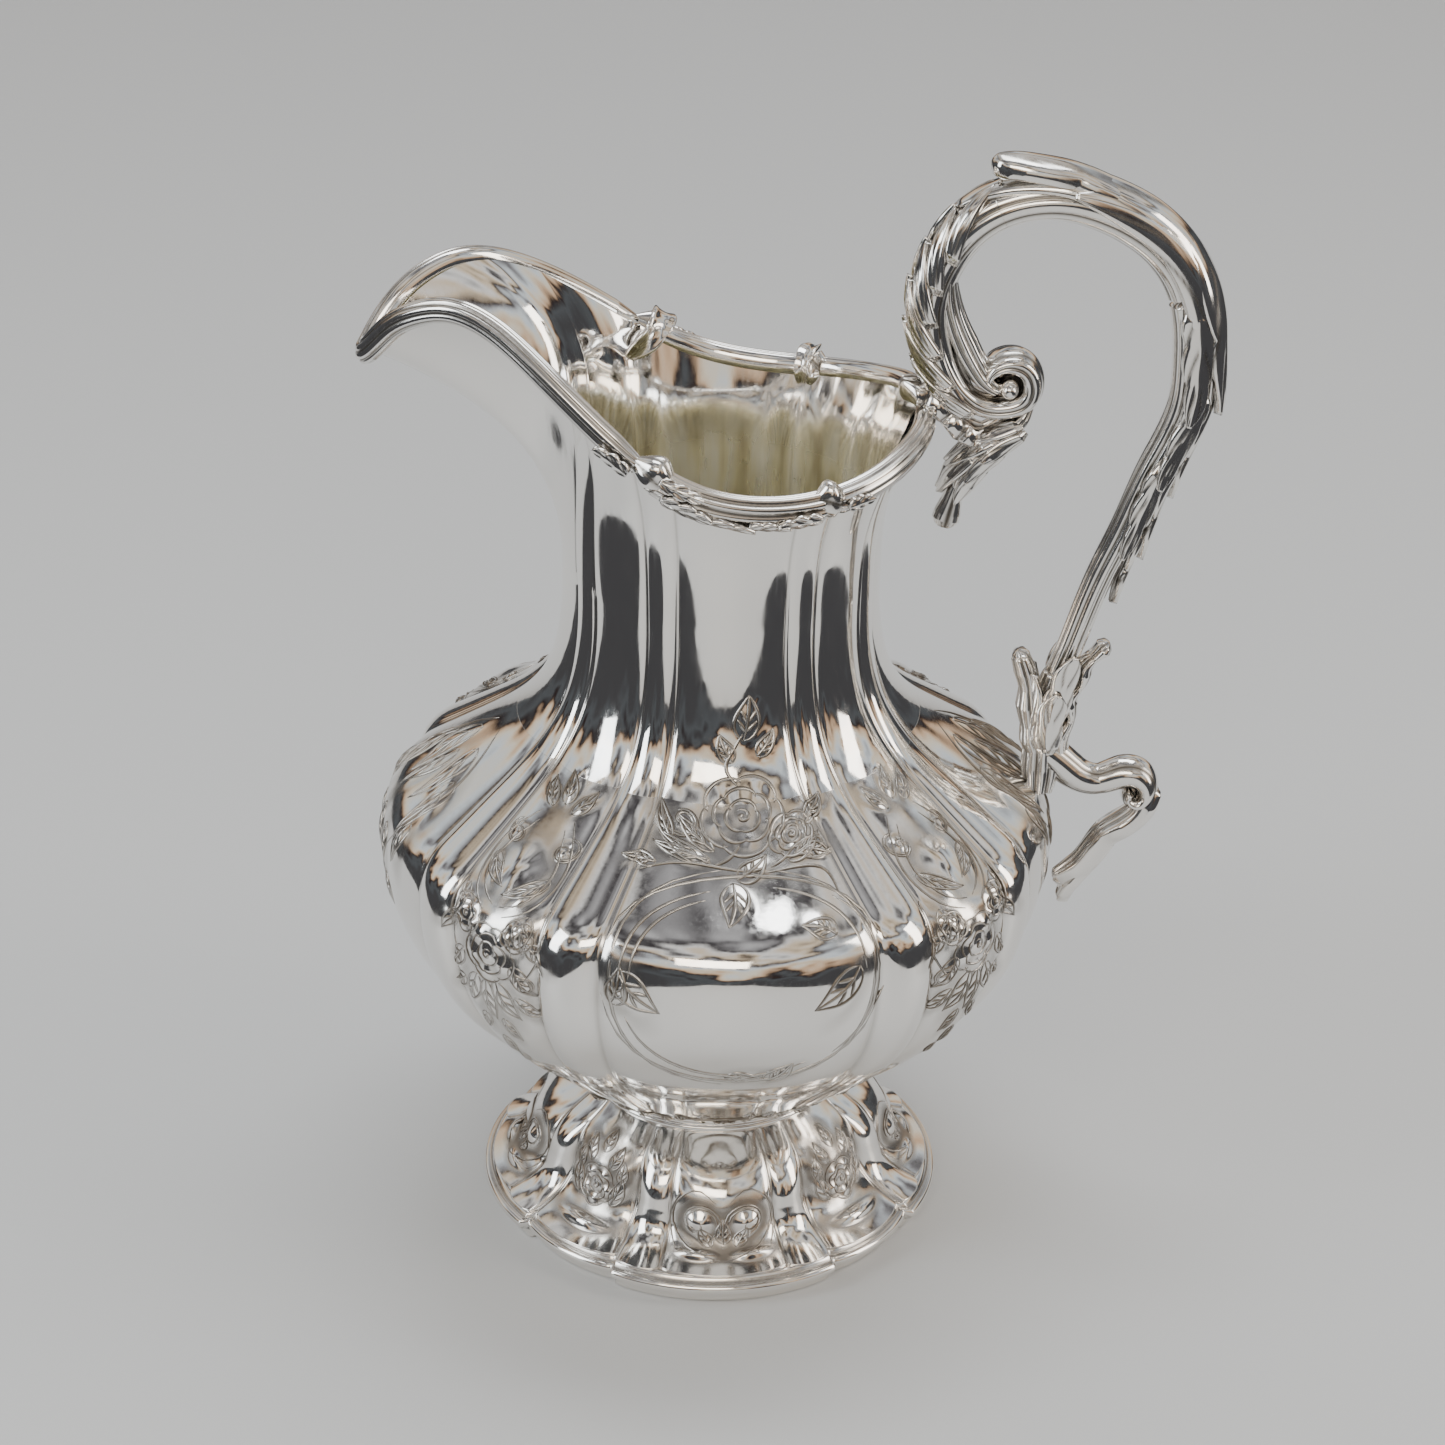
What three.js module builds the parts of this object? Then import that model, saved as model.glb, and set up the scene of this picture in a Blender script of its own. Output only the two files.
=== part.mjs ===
// Silver water pitcher, millimetres, +Z up.
// A melon-panelled bowl on a scalloped foot, a flared neck drawn out into a spout,
// an applied rim moulding with cast leaf knuckles, and a cast scroll handle.
// Every piece is a separate solid; pieces that are soldered together keep a 0.3 mm seam.
import * as THREE from 'three';

// ---------------------------------------------------------------- driving dimensions
const SEAM = 0.3; // gap left where two soldered pieces meet
const SHEET = 1.3; // thickness of the raised silver sheet
const DEG = Math.PI / 180;

// Sixteen panels: wide ones at front, back, spout and handle, medium ones between,
// and a narrow rib on each side of every wide one. Half widths in degrees.
const BODY_PANELS = { wide: 21, rib: 33 };
const FOOT_PANELS = { wide: 17, rib: 30 };
const COLUMNS = { wide: 6, rib: 2, medium: 4 }; // mesh columns in each panel
const PANEL_ROUNDNESS = 0.65;

const BOWL_BOTTOM = 38; // underside of the bowl
const NECK_SEAM = 138; // height of the seam between bowl and neck
const NECK_RADIUS = 38;
const FOOT_WAIST = 30; // radius of the collar between foot and bowl
const FOOT_TOP = 34.5;
const RING_TOP = 7; // height of the foot ring
const RING_RADIUS = 56;

const RIM_HALF_WIDTH = 2.5; // half width of the rim moulding, across the wall
const RIM_HALF_HEIGHT = 3;
const LEAF_ANGLE_SPOUT = -22; // leaf knuckle at the root of the spout
const LEAF_ANGLE_MOUTH = 31; // leaf knuckle towards the handle
const SOCKET_ANGLE = 78; // where the rim moulding runs into the handle

const HANDLE_SIDES = 10; // sides of the handle's cross-section

// ---------------------------------------------------------------- materials
const silver = (color, roughness) => () =>
  new THREE.MeshStandardMaterial({ color, roughness, metalness: 1 });
const raisedSilver = silver(0xe6e4de, 0.12);
const castSilver = silver(0xdad6cc, 0.22);
const chasedSilver = silver(0xd9d2c2, 0.18);

// ---------------------------------------------------------------- geometry helpers

// Closed body from a stack of closed rings. Rings run anticlockwise seen from +Z and
// climb the outside. A looped stack joins its last ring to its first; otherwise both
// ends are closed by a fan around the ring's middle.
function loft(rings, looped) {
  const around = rings[0].length;
  const positions = rings.flat();
  const index = [];
  const last = looped ? rings.length : rings.length - 1;
  for (let i = 0; i < last; i++) {
    const lower = i * around;
    const upper = ((i + 1) % rings.length) * around;
    for (let j = 0; j < around; j++) {
      const k = (j + 1) % around;
      index.push(lower + j, lower + k, upper + k);
      index.push(lower + j, upper + k, upper + j);
    }
  }
  if (!looped) {
    const ends = [[0, false], [(rings.length - 1) * around, true]];
    for (const [start, top] of ends) {
      const middle = new THREE.Vector3();
      for (let j = 0; j < around; j++) middle.add(positions[start + j]);
      positions.push(middle.divideScalar(around));
      const centre = positions.length - 1;
      for (let j = 0; j < around; j++) {
        const a = start + j;
        const b = start + (j + 1) % around;
        if (top) index.push(a, b, centre);
        else index.push(b, a, centre);
      }
    }
  }
  const geometry = new THREE.BufferGeometry().setFromPoints(positions);
  geometry.setIndex(index);
  geometry.computeVertexNormals();
  return geometry;
}

// Point at an angle round the body, measured from the front towards the handle.
function around(angle, radius, height) {
  return new THREE.Vector3(radius * Math.sin(angle * DEG), -radius * Math.cos(angle * DEG), height);
}

// Angles of the mesh columns once round the body, denser on the narrow ribs.
function columnAngles({ wide, rib }) {
  const quarter = [
    [-wide, wide, COLUMNS.wide],
    [wide, rib, COLUMNS.rib],
    [rib, 90 - rib, COLUMNS.medium],
    [90 - rib, 90 - wide, COLUMNS.rib],
  ];
  const angles = [];
  for (let turn = 0; turn < 360; turn += 90) {
    for (const [from, to, count] of quarter) {
      for (let i = 0; i < count; i++) angles.push(turn + from + ((to - from) * i) / count);
    }
  }
  return angles;
}

// Swell of the panels: 0 in a crease, 1 on the middle of a panel.
function swell(angle, { wide, rib }) {
  const folded = Math.abs(((angle % 90) + 135) % 90 - 45);
  let from = -wide;
  let to = wide;
  if (folded > wide) [from, to] = [wide, rib];
  if (folded > rib) [from, to] = [rib, 90 - rib];
  const across = (2 * folded - from - to) / (to - from);
  return Math.max(0, 1 - across * across) ** PANEL_ROUNDNESS;
}

// Smooth rows through a radius and height outline.
function outline(points, rows) {
  const curve = new THREE.SplineCurve(points.map(([r, z]) => new THREE.Vector2(r, z)));
  return curve.getSpacedPoints(rows);
}

// Outer rings of a panelled wall and, a sheet thickness inside them, its inner rings.
function panelledShell(rows, panels, creaseDepth, thickness) {
  const angles = columnAngles(panels);
  const ring = (row, inset) => angles.map((angle) => {
    const groove = creaseDepth(row.y) * (1 - swell(angle, panels));
    return around(angle, row.x - groove - inset.x, row.y - inset.y);
  });
  const insets = rows.map((row, i) => {
    const before = rows[Math.max(0, i - 1)];
    const after = rows[Math.min(rows.length - 1, i + 1)];
    const slope = after.clone().sub(before).normalize();
    return new THREE.Vector2(slope.y, -slope.x).multiplyScalar(thickness);
  });
  const flat = new THREE.Vector2(0, 0);
  return {
    outer: rows.map((row) => ring(row, flat)),
    inner: rows.map((row, i) => ring(row, insets[i])),
  };
}

// Solid swept along a path. place(t) gives the middle, the two half axes of the oval
// section and their directions, for t from 0 to 1.
function sweep(place, steps, sides) {
  const rings = [];
  for (let i = 0; i <= steps; i++) {
    const { middle, across, up } = place(i / steps);
    const ring = [];
    for (let j = 0; j < sides; j++) {
      const turn = (j / sides) * 2 * Math.PI;
      ring.push(middle.clone()
        .addScaledVector(across, Math.cos(turn))
        .addScaledVector(up, Math.sin(turn)));
    }
    rings.push(ring);
  }
  return loft(rings, false);
}

const pitcher = new THREE.Group();
pitcher.name = 'silver_water_pitcher';

function add(name, geometry, material) {
  const mesh = new THREE.Mesh(geometry, material());
  mesh.name = name;
  pitcher.add(mesh);
}

// ---------------------------------------------------------------- bowl
const bowlOutline = outline([
  [12, BOWL_BOTTOM], [28, BOWL_BOTTOM + 0.6], [37.5, 42], [45, 48], [53, 54.3], [60, 60], [66, 66],
  [71, 72.4], [75.1, 78], [80.2, 90], [81.9, 102], [82.2, 107], [80.6, 114], [73, 120], [64, 126],
  [56, 132], [49, NECK_SEAM],
], 16);
const bowlCrease = (z) => 2.6 * THREE.MathUtils.smoothstep(z, 38, 56)
  - 0.9 * THREE.MathUtils.smoothstep(z, 112, NECK_SEAM);
const bowlWall = panelledShell(bowlOutline, BODY_PANELS, bowlCrease, SHEET);
add('bowl', loft([...bowlWall.outer, ...bowlWall.inner.reverse()], false), raisedSilver);

// ---------------------------------------------------------------- rim curve
// Middle line of the rim moulding from the spout's tip round the front to the handle:
// angle from the front, radius, height.
const rimPoints = [
  [-90, 83.2, 231.5], [-86, 79, 238], [-82, 73, 244.5], [-77, 65.5, 247.5], [-71, 59, 246.6],
  [-64, 54.6, 243.3], [-55, 51.2, 238.5], [-45, 48.8, 232.6], [-34, 47.2, 226], [-22, 45.3, 218.6],
  [-7, 43.6, 213.2], [10, 43, 210.8], [26, 44, 210.8], [42, 45, 212], [58, 46, 214.6],
  [74, 46.8, 217.2], [90, 47.2, 218.4],
];
const rimSpline = new THREE.CatmullRomCurve3(rimPoints.map((p) => new THREE.Vector3(...p)));
const rimTable = rimSpline.getPoints(340);

// Middle line of the rim at any angle; the back mirrors the front.
function rimAt(angle) {
  let front = ((angle + 90) % 360 + 360) % 360 - 90;
  if (front > 90) front = 180 - front;
  let i = 1;
  while (i < rimTable.length - 1 && rimTable[i].x < front) i++;
  const low = rimTable[i - 1];
  const high = rimTable[i];
  const share = THREE.MathUtils.clamp((front - low.x) / (high.x - low.x), 0, 1);
  return low.clone().lerp(high, share);
}

// ---------------------------------------------------------------- neck and spout
const SPOUT_SPREAD = 62; // degrees each side of the spout over which the wall is drawn out
const neckRoot = new THREE.SplineCurve([
  [49, NECK_SEAM + SEAM], [43, 146], [40, 154], [38.5, 162], [NECK_RADIUS, 170], [NECK_RADIUS, 180],
].map(([r, z]) => new THREE.Vector2(r, z)));
const NECK_LOWER_ROWS = 5;
const NECK_UPPER_ROWS = 8;

// Height and radius of the wall from the seam (t = 0) to the rim (t = 1) at an angle.
function neckWall(angle, row) {
  const spout = THREE.MathUtils.smoothstep(-Math.abs(((angle + 90 + 540) % 360) - 180), -SPOUT_SPREAD, 0);
  const root = neckRoot.getPoint(1);
  if (row <= NECK_LOWER_ROWS) return neckRoot.getPoint(row / NECK_LOWER_ROWS);
  const rim = rimAt(angle);
  const lip = new THREE.Vector2(rim.y, rim.z);
  const rise = lip.y - root.y;
  const outward = (68 - 46 * spout) * DEG;
  const reach = 0.42 * lip.distanceTo(root);
  const flare = new THREE.Vector2(Math.cos(outward), Math.sin(outward)).multiplyScalar(reach);
  const curve = new THREE.CubicBezierCurve(
    root,
    new THREE.Vector2(root.x, root.y + rise * 0.5),
    lip.clone().sub(flare),
    lip.clone().addScaledVector(flare, -(RIM_HALF_HEIGHT + 2 * SEAM) / reach),
  );
  return curve.getPoint((row - NECK_LOWER_ROWS) / NECK_UPPER_ROWS);
}

function neckCrease(angle, height) {
  const spout = THREE.MathUtils.smoothstep(-Math.abs(((angle + 90 + 540) % 360) - 180), -SPOUT_SPREAD, 0);
  const fade = THREE.MathUtils.smoothstep(height, 165, 205 - 20 * spout);
  return 1.7 * (1 - fade * (0.5 + 0.5 * spout));
}

const neckAngles = columnAngles(BODY_PANELS);
const neckOuter = [];
for (let row = 0; row <= NECK_LOWER_ROWS + NECK_UPPER_ROWS; row++) {
  neckOuter.push(neckAngles.map((angle) => {
    const { x: radius, y: height } = neckWall(angle, row);
    const groove = neckCrease(angle, height) * (1 - swell(angle, BODY_PANELS));
    return around(angle, radius - groove, height);
  }));
}

// Inner face: each outer point moved one sheet thickness along the wall's own normal.
function insideOf(rings, thickness) {
  return rings.map((ring, i) => ring.map((point, j) => {
    const down = rings[Math.max(0, i - 1)][j];
    const up = rings[Math.min(rings.length - 1, i + 1)][j];
    const left = ring[(j + ring.length - 1) % ring.length];
    const right = ring[(j + 1) % ring.length];
    const normal = right.clone().sub(left).cross(up.clone().sub(down)).normalize();
    return point.clone().addScaledVector(normal, -thickness);
  }));
}
const neckInner = insideOf(neckOuter, SHEET);
add('neck_and_spout', loft([...neckOuter, ...neckInner.reverse()], true), raisedSilver);

// ---------------------------------------------------------------- rim moulding
// One length of moulding. angleAt(t) runs along it from t = 0 to 1, and full(t) scales its
// section along the way, with its underside kept at the same height above the wall's edge.
function rimLength(angleAt, full, steps) {
  const at = (angle) => {
    const { y: radius, z: height } = rimAt(angle);
    return around(angle, radius, height);
  };
  const nudge = 0.004;
  return sweep((t) => {
    const middle = at(angleAt(t));
    const along = at(angleAt(t + nudge)).sub(at(angleAt(t - nudge))).normalize();
    const outward = around(angleAt(t), 1, 0);
    const across = outward.clone().addScaledVector(along, -outward.dot(along)).normalize();
    const up = along.clone().cross(across).normalize();
    const skyward = Math.sign(up.z);
    const size = full(t);
    middle.addScaledVector(up, skyward * RIM_HALF_HEIGHT * (size - 1));
    return {
      middle,
      across: across.multiplyScalar(skyward * RIM_HALF_WIDTH * size),
      up: up.multiplyScalar(skyward * RIM_HALF_HEIGHT * size),
    };
  }, steps, 8);
}

// The border round the spout is one wire, bent at the tip, where its steps are closest.
const LEAF_SPAN = 4; // half length of a leaf knuckle, degrees
const SPOUT_ANGLE = -90;
const borderHalf = LEAF_ANGLE_SPOUT - LEAF_SPAN - SPOUT_ANGLE;
const borderAngle = (t) => {
  const side = 2 * t - 1;
  return SPOUT_ANGLE + borderHalf * Math.sign(side) * Math.abs(side) ** 1.6;
};
add('spout_border', rimLength(borderAngle, (t) => 0.92 + 0.08 * Math.sin(Math.PI * t), 32), castSilver);

// Each side of the mouth: a leaf knuckle, leafed rim, a second knuckle, plain reeded rim.
const seamAngle = (SEAM / 45) / DEG; // the seam as an angle at the rim's radius
const lengths = [
  ['spout_leaf', LEAF_ANGLE_SPOUT - LEAF_SPAN, LEAF_ANGLE_SPOUT + LEAF_SPAN,
    (t) => 1 + 0.35 * Math.sin(Math.PI * t), 4],
  ['leafed_rim', LEAF_ANGLE_SPOUT + LEAF_SPAN, LEAF_ANGLE_MOUTH - LEAF_SPAN, () => 1, 8],
  ['mouth_leaf', LEAF_ANGLE_MOUTH - LEAF_SPAN, LEAF_ANGLE_MOUTH + LEAF_SPAN,
    (t) => 1 + 0.25 * Math.sin(Math.PI * t), 4],
  ['reeded_rim', LEAF_ANGLE_MOUTH + LEAF_SPAN, SOCKET_ANGLE, () => 0.92, 8],
];
for (const [name, from, to, full, steps] of lengths) {
  const start = from + seamAngle;
  const angleAt = (t) => start + (to - start) * t;
  add(`${name}_front`, rimLength(angleAt, full, steps), castSilver);
  add(`${name}_back`, rimLength((t) => 180 - angleAt(t), full, steps), castSilver);
}

// ---------------------------------------------------------------- foot
const footRows = outline([
  [54.4, RING_TOP + SEAM + SHEET], [51.4, 9.9], [48, 12.2], [45.2, 15], [43.3, 19], [42, 24],
  [39, 28.6], [34.5, 31.5], [FOOT_WAIST + 1, FOOT_TOP],
], 9);
const footCrease = (z) => 2 - 1.6 * THREE.MathUtils.smoothstep(z, 22, FOOT_TOP);
const footWall = panelledShell(footRows, FOOT_PANELS, footCrease, SHEET);
add('foot_dome', loft([...footWall.outer, ...footWall.inner.reverse()], true), chasedSilver);

// Collar that joins the domed foot to the underside of the bowl.
const collarBottom = FOOT_TOP + SEAM;
const collarTop = BOWL_BOTTOM - SEAM;
const collarHoop = [
  [24, collarBottom], [FOOT_WAIST + 1, collarBottom], [FOOT_WAIST + 2, collarBottom + 0.9],
  [FOOT_WAIST + 1, collarTop], [24, collarTop], [24, collarBottom],
].map(([r, z]) => new THREE.Vector2(r, z));
const collar = new THREE.LatheGeometry(collarHoop, 40);
collar.rotateX(Math.PI / 2);
add('foot_collar', collar, castSilver);

// Scalloped ring under the dome: an upright skirt with a rounded wire along its top edge.
function scallop(angle) {
  const folded = Math.abs(((angle % 90) + 135) % 90 - 45);
  const panel = swell(angle, FOOT_PANELS);
  return folded <= FOOT_PANELS.rib ? 1.2 + 1.2 * panel : 1.2 * panel;
}
const ringAngles = columnAngles(FOOT_PANELS);
const ringSection = [
  [-5.4, 0], [-3, 0], [-2.6, 2], [-1.4, 3.8], [0, 5], [-0.5, RING_TOP], [-5.4, RING_TOP],
];
const footRing = ringSection.map(([out, z]) => ringAngles.map((angle) => {
  return around(angle, RING_RADIUS - 1 + out + scallop(angle), z);
}));
add('foot_ring', loft(footRing, true), castSilver);

// ---------------------------------------------------------------- handle
// The handle lies in the plane y = 0. Points are x and z from the body's axis.
function handleSweep(points, thickness, width, steps) {
  const curve = new THREE.SplineCurve(points.map(([x, z]) => new THREE.Vector2(x, z)));
  return sweep((t) => {
    const p = curve.getPointAt(t);
    const along = curve.getTangentAt(t);
    return {
      middle: new THREE.Vector3(p.x, 0, p.y),
      across: new THREE.Vector3(-along.y, 0, along.x).multiplyScalar(thickness(t) / 2),
      up: new THREE.Vector3(0, -width(t) / 2, 0),
    };
  }, steps, HANDLE_SIDES);
}
const taper = (from, to) => (t) => from + (to - from) * t;
const swelling = (ends, middle) => (t) => ends + (middle - ends) * Math.sin(Math.PI * t);

// Volute that ends the arch above the rim: a disc with a raised eye on both faces.
const VOLUTE = { x: 66.6, z: 223.4, radius: 7.8, halfWidth: 5 };
const voluteOutline = [
  [0, -VOLUTE.halfWidth - 1], [2.4, -VOLUTE.halfWidth - 0.6], [3.2, -VOLUTE.halfWidth + 1.2],
  [VOLUTE.radius - 1, -VOLUTE.halfWidth], [VOLUTE.radius, -VOLUTE.halfWidth + 1.6],
  [VOLUTE.radius, VOLUTE.halfWidth - 1.6], [VOLUTE.radius - 1, VOLUTE.halfWidth],
  [3.2, VOLUTE.halfWidth - 1.2], [2.4, VOLUTE.halfWidth + 0.6], [0, VOLUTE.halfWidth + 1],
].map(([r, y]) => new THREE.Vector2(r, y));
const volute = new THREE.LatheGeometry(voluteOutline, 24);
volute.translate(VOLUTE.x, 0, VOLUTE.z);
add('handle_volute', volute, castSilver);

add('handle_riser', handleSweep(
  [[57, 217.6], [52, 224.6], [48.4, 233], [47, 243], [49, 252], [53.6, 260], [60.6, 266.4], [64.4, 268],
    [67.8, 268.9]],
  (t) => 5.6 + 7 * Math.sin(Math.PI * (0.04 + 0.66 * t)), swelling(9, 12), 16,
), castSilver);
add('handle_arch', handleSweep(
  [[68.6, 269.1], [72, 269.6], [78, 269.5], [87, 266.6], [95.4, 262], [102, 256], [106.2, 248.4], [108.2, 240],
    [108.7, 230]],
  swelling(11, 12.5), swelling(10.5, 12.5), 14,
), castSilver);
add('handle_shaft', handleSweep(
  [[108.7, 229.3], [107.9, 219], [105, 210.6], [101.2, 202], [95.9, 187.3], [91, 175], [87.4, 164],
    [84.4, 154], [81.8, 146.6]],
  taper(11, 6.6), taper(11, 7), 16,
), castSilver);
add('thumb_leaf', handleSweep(
  [[60.4, 278.8], [67, 279], [74, 278.4], [81, 277.5], [88, 275.2], [95, 271.4], [99.6, 268]],
  swelling(1.6, 3.4), (t) => 5 + 6 * Math.sin(Math.PI * (0.2 + 0.6 * t)), 10,
), castSilver);

// Leafy casting that carries the upper end of the handle on the rim.
add('rim_socket', handleSweep(
  [[42.6, 220.6], [47.5, 218.1], [52, 213.6], [55.8, 209.4]],
  swelling(4.2, 5.8), swelling(8, 13), 6,
), castSilver);
add('hanging_leaf', handleSweep(
  [[68.4, 213], [63.6, 208], [58.8, 202.6], [54.6, 196.6], [53, 190.6], [52.4, 187.2]],
  (t) => 4.6 - 1.6 * t, (t) => 5.4 + 2.2 * Math.sin(2.4 * Math.PI * t), 8,
), castSilver);

// Calyx that takes the lower end of the shaft, and its two upstanding leaves.
add('calyx', handleSweep(
  [[81.6, 145.6], [80, 138], [79.3, 131], [79.2, 125], [79.2, 119.8]],
  swelling(8, 10), swelling(9, 11), 8,
), castSilver);
add('calyx_leaf_inner', handleSweep(
  [[72.8, 153.6], [73.2, 147], [73.7, 140], [73.2, 133.6]],
  taper(2, 2.6), swelling(4, 7), 5,
), castSilver);
add('calyx_leaf_outer', handleSweep(
  [[92.8, 155], [90, 150.8], [87.8, 145.4], [86.5, 139.4], [86, 134]],
  taper(2.2, 1.8), swelling(4, 7), 6,
), castSilver);

// Small scroll springing outward from the calyx, and the tail leaf that comes back to the bowl.
add('lower_scroll', handleSweep(
  [[85.6, 124.2], [88.8, 121.2], [92.4, 119.2], [96.6, 119.6], [100.4, 121], [103.8, 119], [104.6, 115.6]],
  swelling(6, 6.6), swelling(6.5, 8), 10,
), castSilver);
add('tail_leaf', handleSweep(
  [[104.3, 114.6], [101.8, 109.2], [96.4, 102.4], [90.4, 95.8], [86, 91.4], [83.2, 88.4]],
  swelling(3, 6), swelling(5, 9), 9,
), castSilver);

// ---------------------------------------------------------------- frame
// The origin is on the ground under the middle of the whole pitcher's plan.
const extent = new THREE.Box3().setFromObject(pitcher);
pitcher.position.set(-(extent.min.x + extent.max.x) / 2, 0, -extent.min.z);
pitcher.updateMatrixWorld(true);

export default pitcher;
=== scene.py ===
"""Silver water pitcher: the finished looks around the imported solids.

Sizes are written in millimetres from the axis of the bowl and turned into metres when a
mesh is made. Angles round the body run from the front (-Y) towards the handle (+X).
"""

import bpy
import numpy as np
from mathutils import Matrix, Vector


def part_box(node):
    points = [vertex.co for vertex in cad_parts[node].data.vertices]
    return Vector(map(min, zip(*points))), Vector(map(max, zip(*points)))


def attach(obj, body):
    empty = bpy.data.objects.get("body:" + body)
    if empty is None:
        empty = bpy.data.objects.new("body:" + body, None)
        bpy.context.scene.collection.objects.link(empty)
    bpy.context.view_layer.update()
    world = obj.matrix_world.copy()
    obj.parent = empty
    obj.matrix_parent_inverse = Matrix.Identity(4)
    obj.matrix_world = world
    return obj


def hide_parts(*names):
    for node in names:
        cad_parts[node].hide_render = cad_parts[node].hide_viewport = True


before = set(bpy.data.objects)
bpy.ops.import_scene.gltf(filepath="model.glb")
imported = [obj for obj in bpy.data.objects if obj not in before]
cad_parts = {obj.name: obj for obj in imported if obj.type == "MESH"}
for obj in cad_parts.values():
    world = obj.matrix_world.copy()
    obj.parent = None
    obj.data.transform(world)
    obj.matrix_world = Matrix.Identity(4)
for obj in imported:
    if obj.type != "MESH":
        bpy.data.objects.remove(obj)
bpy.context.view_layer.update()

# ------------------------------------------------------------------ bowl
# The bowl is raised from one sheet of silver, planished, then worked into sixteen panels:
# four wide ones, four medium ones between, and a narrow rib each side of every wide one.
# Its rose sprays are pushed out from inside and sharpened from outside with chasing tools.

MM = 0.001
bowl_low, bowl_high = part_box("bowl")
AXIS_X = (bowl_low.x + bowl_high.x) / 2
WIDE, RIB = 21.0, 33.0  # where the creases lie, in degrees from the middle of a wide panel
WIDE_PANELS, MEDIUM_PANELS = (0, 90, 180, 270), (45, 135, 225, 315)  # their middles
TWIST = 2.6  # the panels were laid out this many degrees round from the spout
SHEET = 1.1


def spline(points, count):
    """Natural cubic spline through the points, with chord length as its parameter, resampled
    at equal steps along its length. Second derivatives come from the usual linear system."""
    p = np.asarray(points, float)
    gaps = np.linalg.norm(np.diff(p, axis=0), axis=1)
    t = np.concatenate([[0], np.cumsum(gaps)])
    n = len(p)
    system = np.eye(n)
    right = np.zeros_like(p)
    for i in range(1, n - 1):
        system[i, i - 1:i + 2] = gaps[i - 1], 2 * (gaps[i - 1] + gaps[i]), gaps[i]
        right[i] = 6 * ((p[i + 1] - p[i]) / gaps[i] - (p[i] - p[i - 1]) / gaps[i - 1])
    bend = np.linalg.solve(system, right)
    fine = np.linspace(0, t[-1], 40 * n)
    k = np.clip(np.searchsorted(t, fine, side="right") - 1, 0, n - 2)
    h = gaps[k][:, None]
    a = (t[k + 1] - fine)[:, None] / h
    b = 1 - a
    line = a * p[k] + b * p[k + 1] + ((a**3 - a) * bend[k] + (b**3 - b) * bend[k + 1]) * h**2 / 6
    length = np.concatenate([[0], np.cumsum(np.linalg.norm(np.diff(line, axis=0), axis=1))])
    even = np.linspace(0, length[-1], count)
    return np.stack([np.interp(even, length, line[:, c]) for c in range(p.shape[1])], 1)


def ease(x, low, high):
    """Smooth step from 0 at low to 1 at high: 3s^2 - 2s^3 of the share s of the way."""
    s = np.clip((x - low) / (high - low), 0, 1)
    return s * s * (3 - 2 * s)


def panel_angles(wide, rib, steps):
    """Degrees of the columns once round, with one at every crease and more on the ribs."""
    edges = [-wide, wide, rib, 90 - rib, 90 - wide]
    quarter = [np.linspace(edges[i], edges[i + 1], steps[i], endpoint=False) for i in range(4)]
    return (np.concatenate(quarter)[None, :] + 90 * np.arange(4)[:, None]).ravel()


def swell(angle, wide, rib, roundness=0.62):
    """Height of the panels: 0 in a crease and 1 in the middle, as (1 - s^2) to a power, where s
    runs from -1 to 1 across the panel."""
    fold = np.abs((angle + 45) % 90 - 45)
    low = np.where(fold > rib, rib, np.where(fold > wide, wide, -wide))
    high = np.where(fold > rib, 90 - rib, np.where(fold > wide, rib, wide))
    s = (2 * fold - low - high) / (high - low)
    return np.clip(1 - s * s, 0, 1) ** roundness


def turned(angle, radius, height):
    """Points at an angle round the axis: x = r sin a, y = -r cos a."""
    a = np.radians(angle)
    return np.stack([radius * np.sin(a), -radius * np.cos(a), height + 0 * a], -1)


def normals(grid):
    """Unit outward normals of a grid whose columns go once round: the cross product of the
    step to the next column and the step to the next row."""
    across = np.roll(grid, -1, 1) - np.roll(grid, 1, 1)
    up = np.gradient(grid, axis=0)
    n = np.cross(across, up)
    return n / np.linalg.norm(n, axis=-1, keepdims=True)


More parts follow.
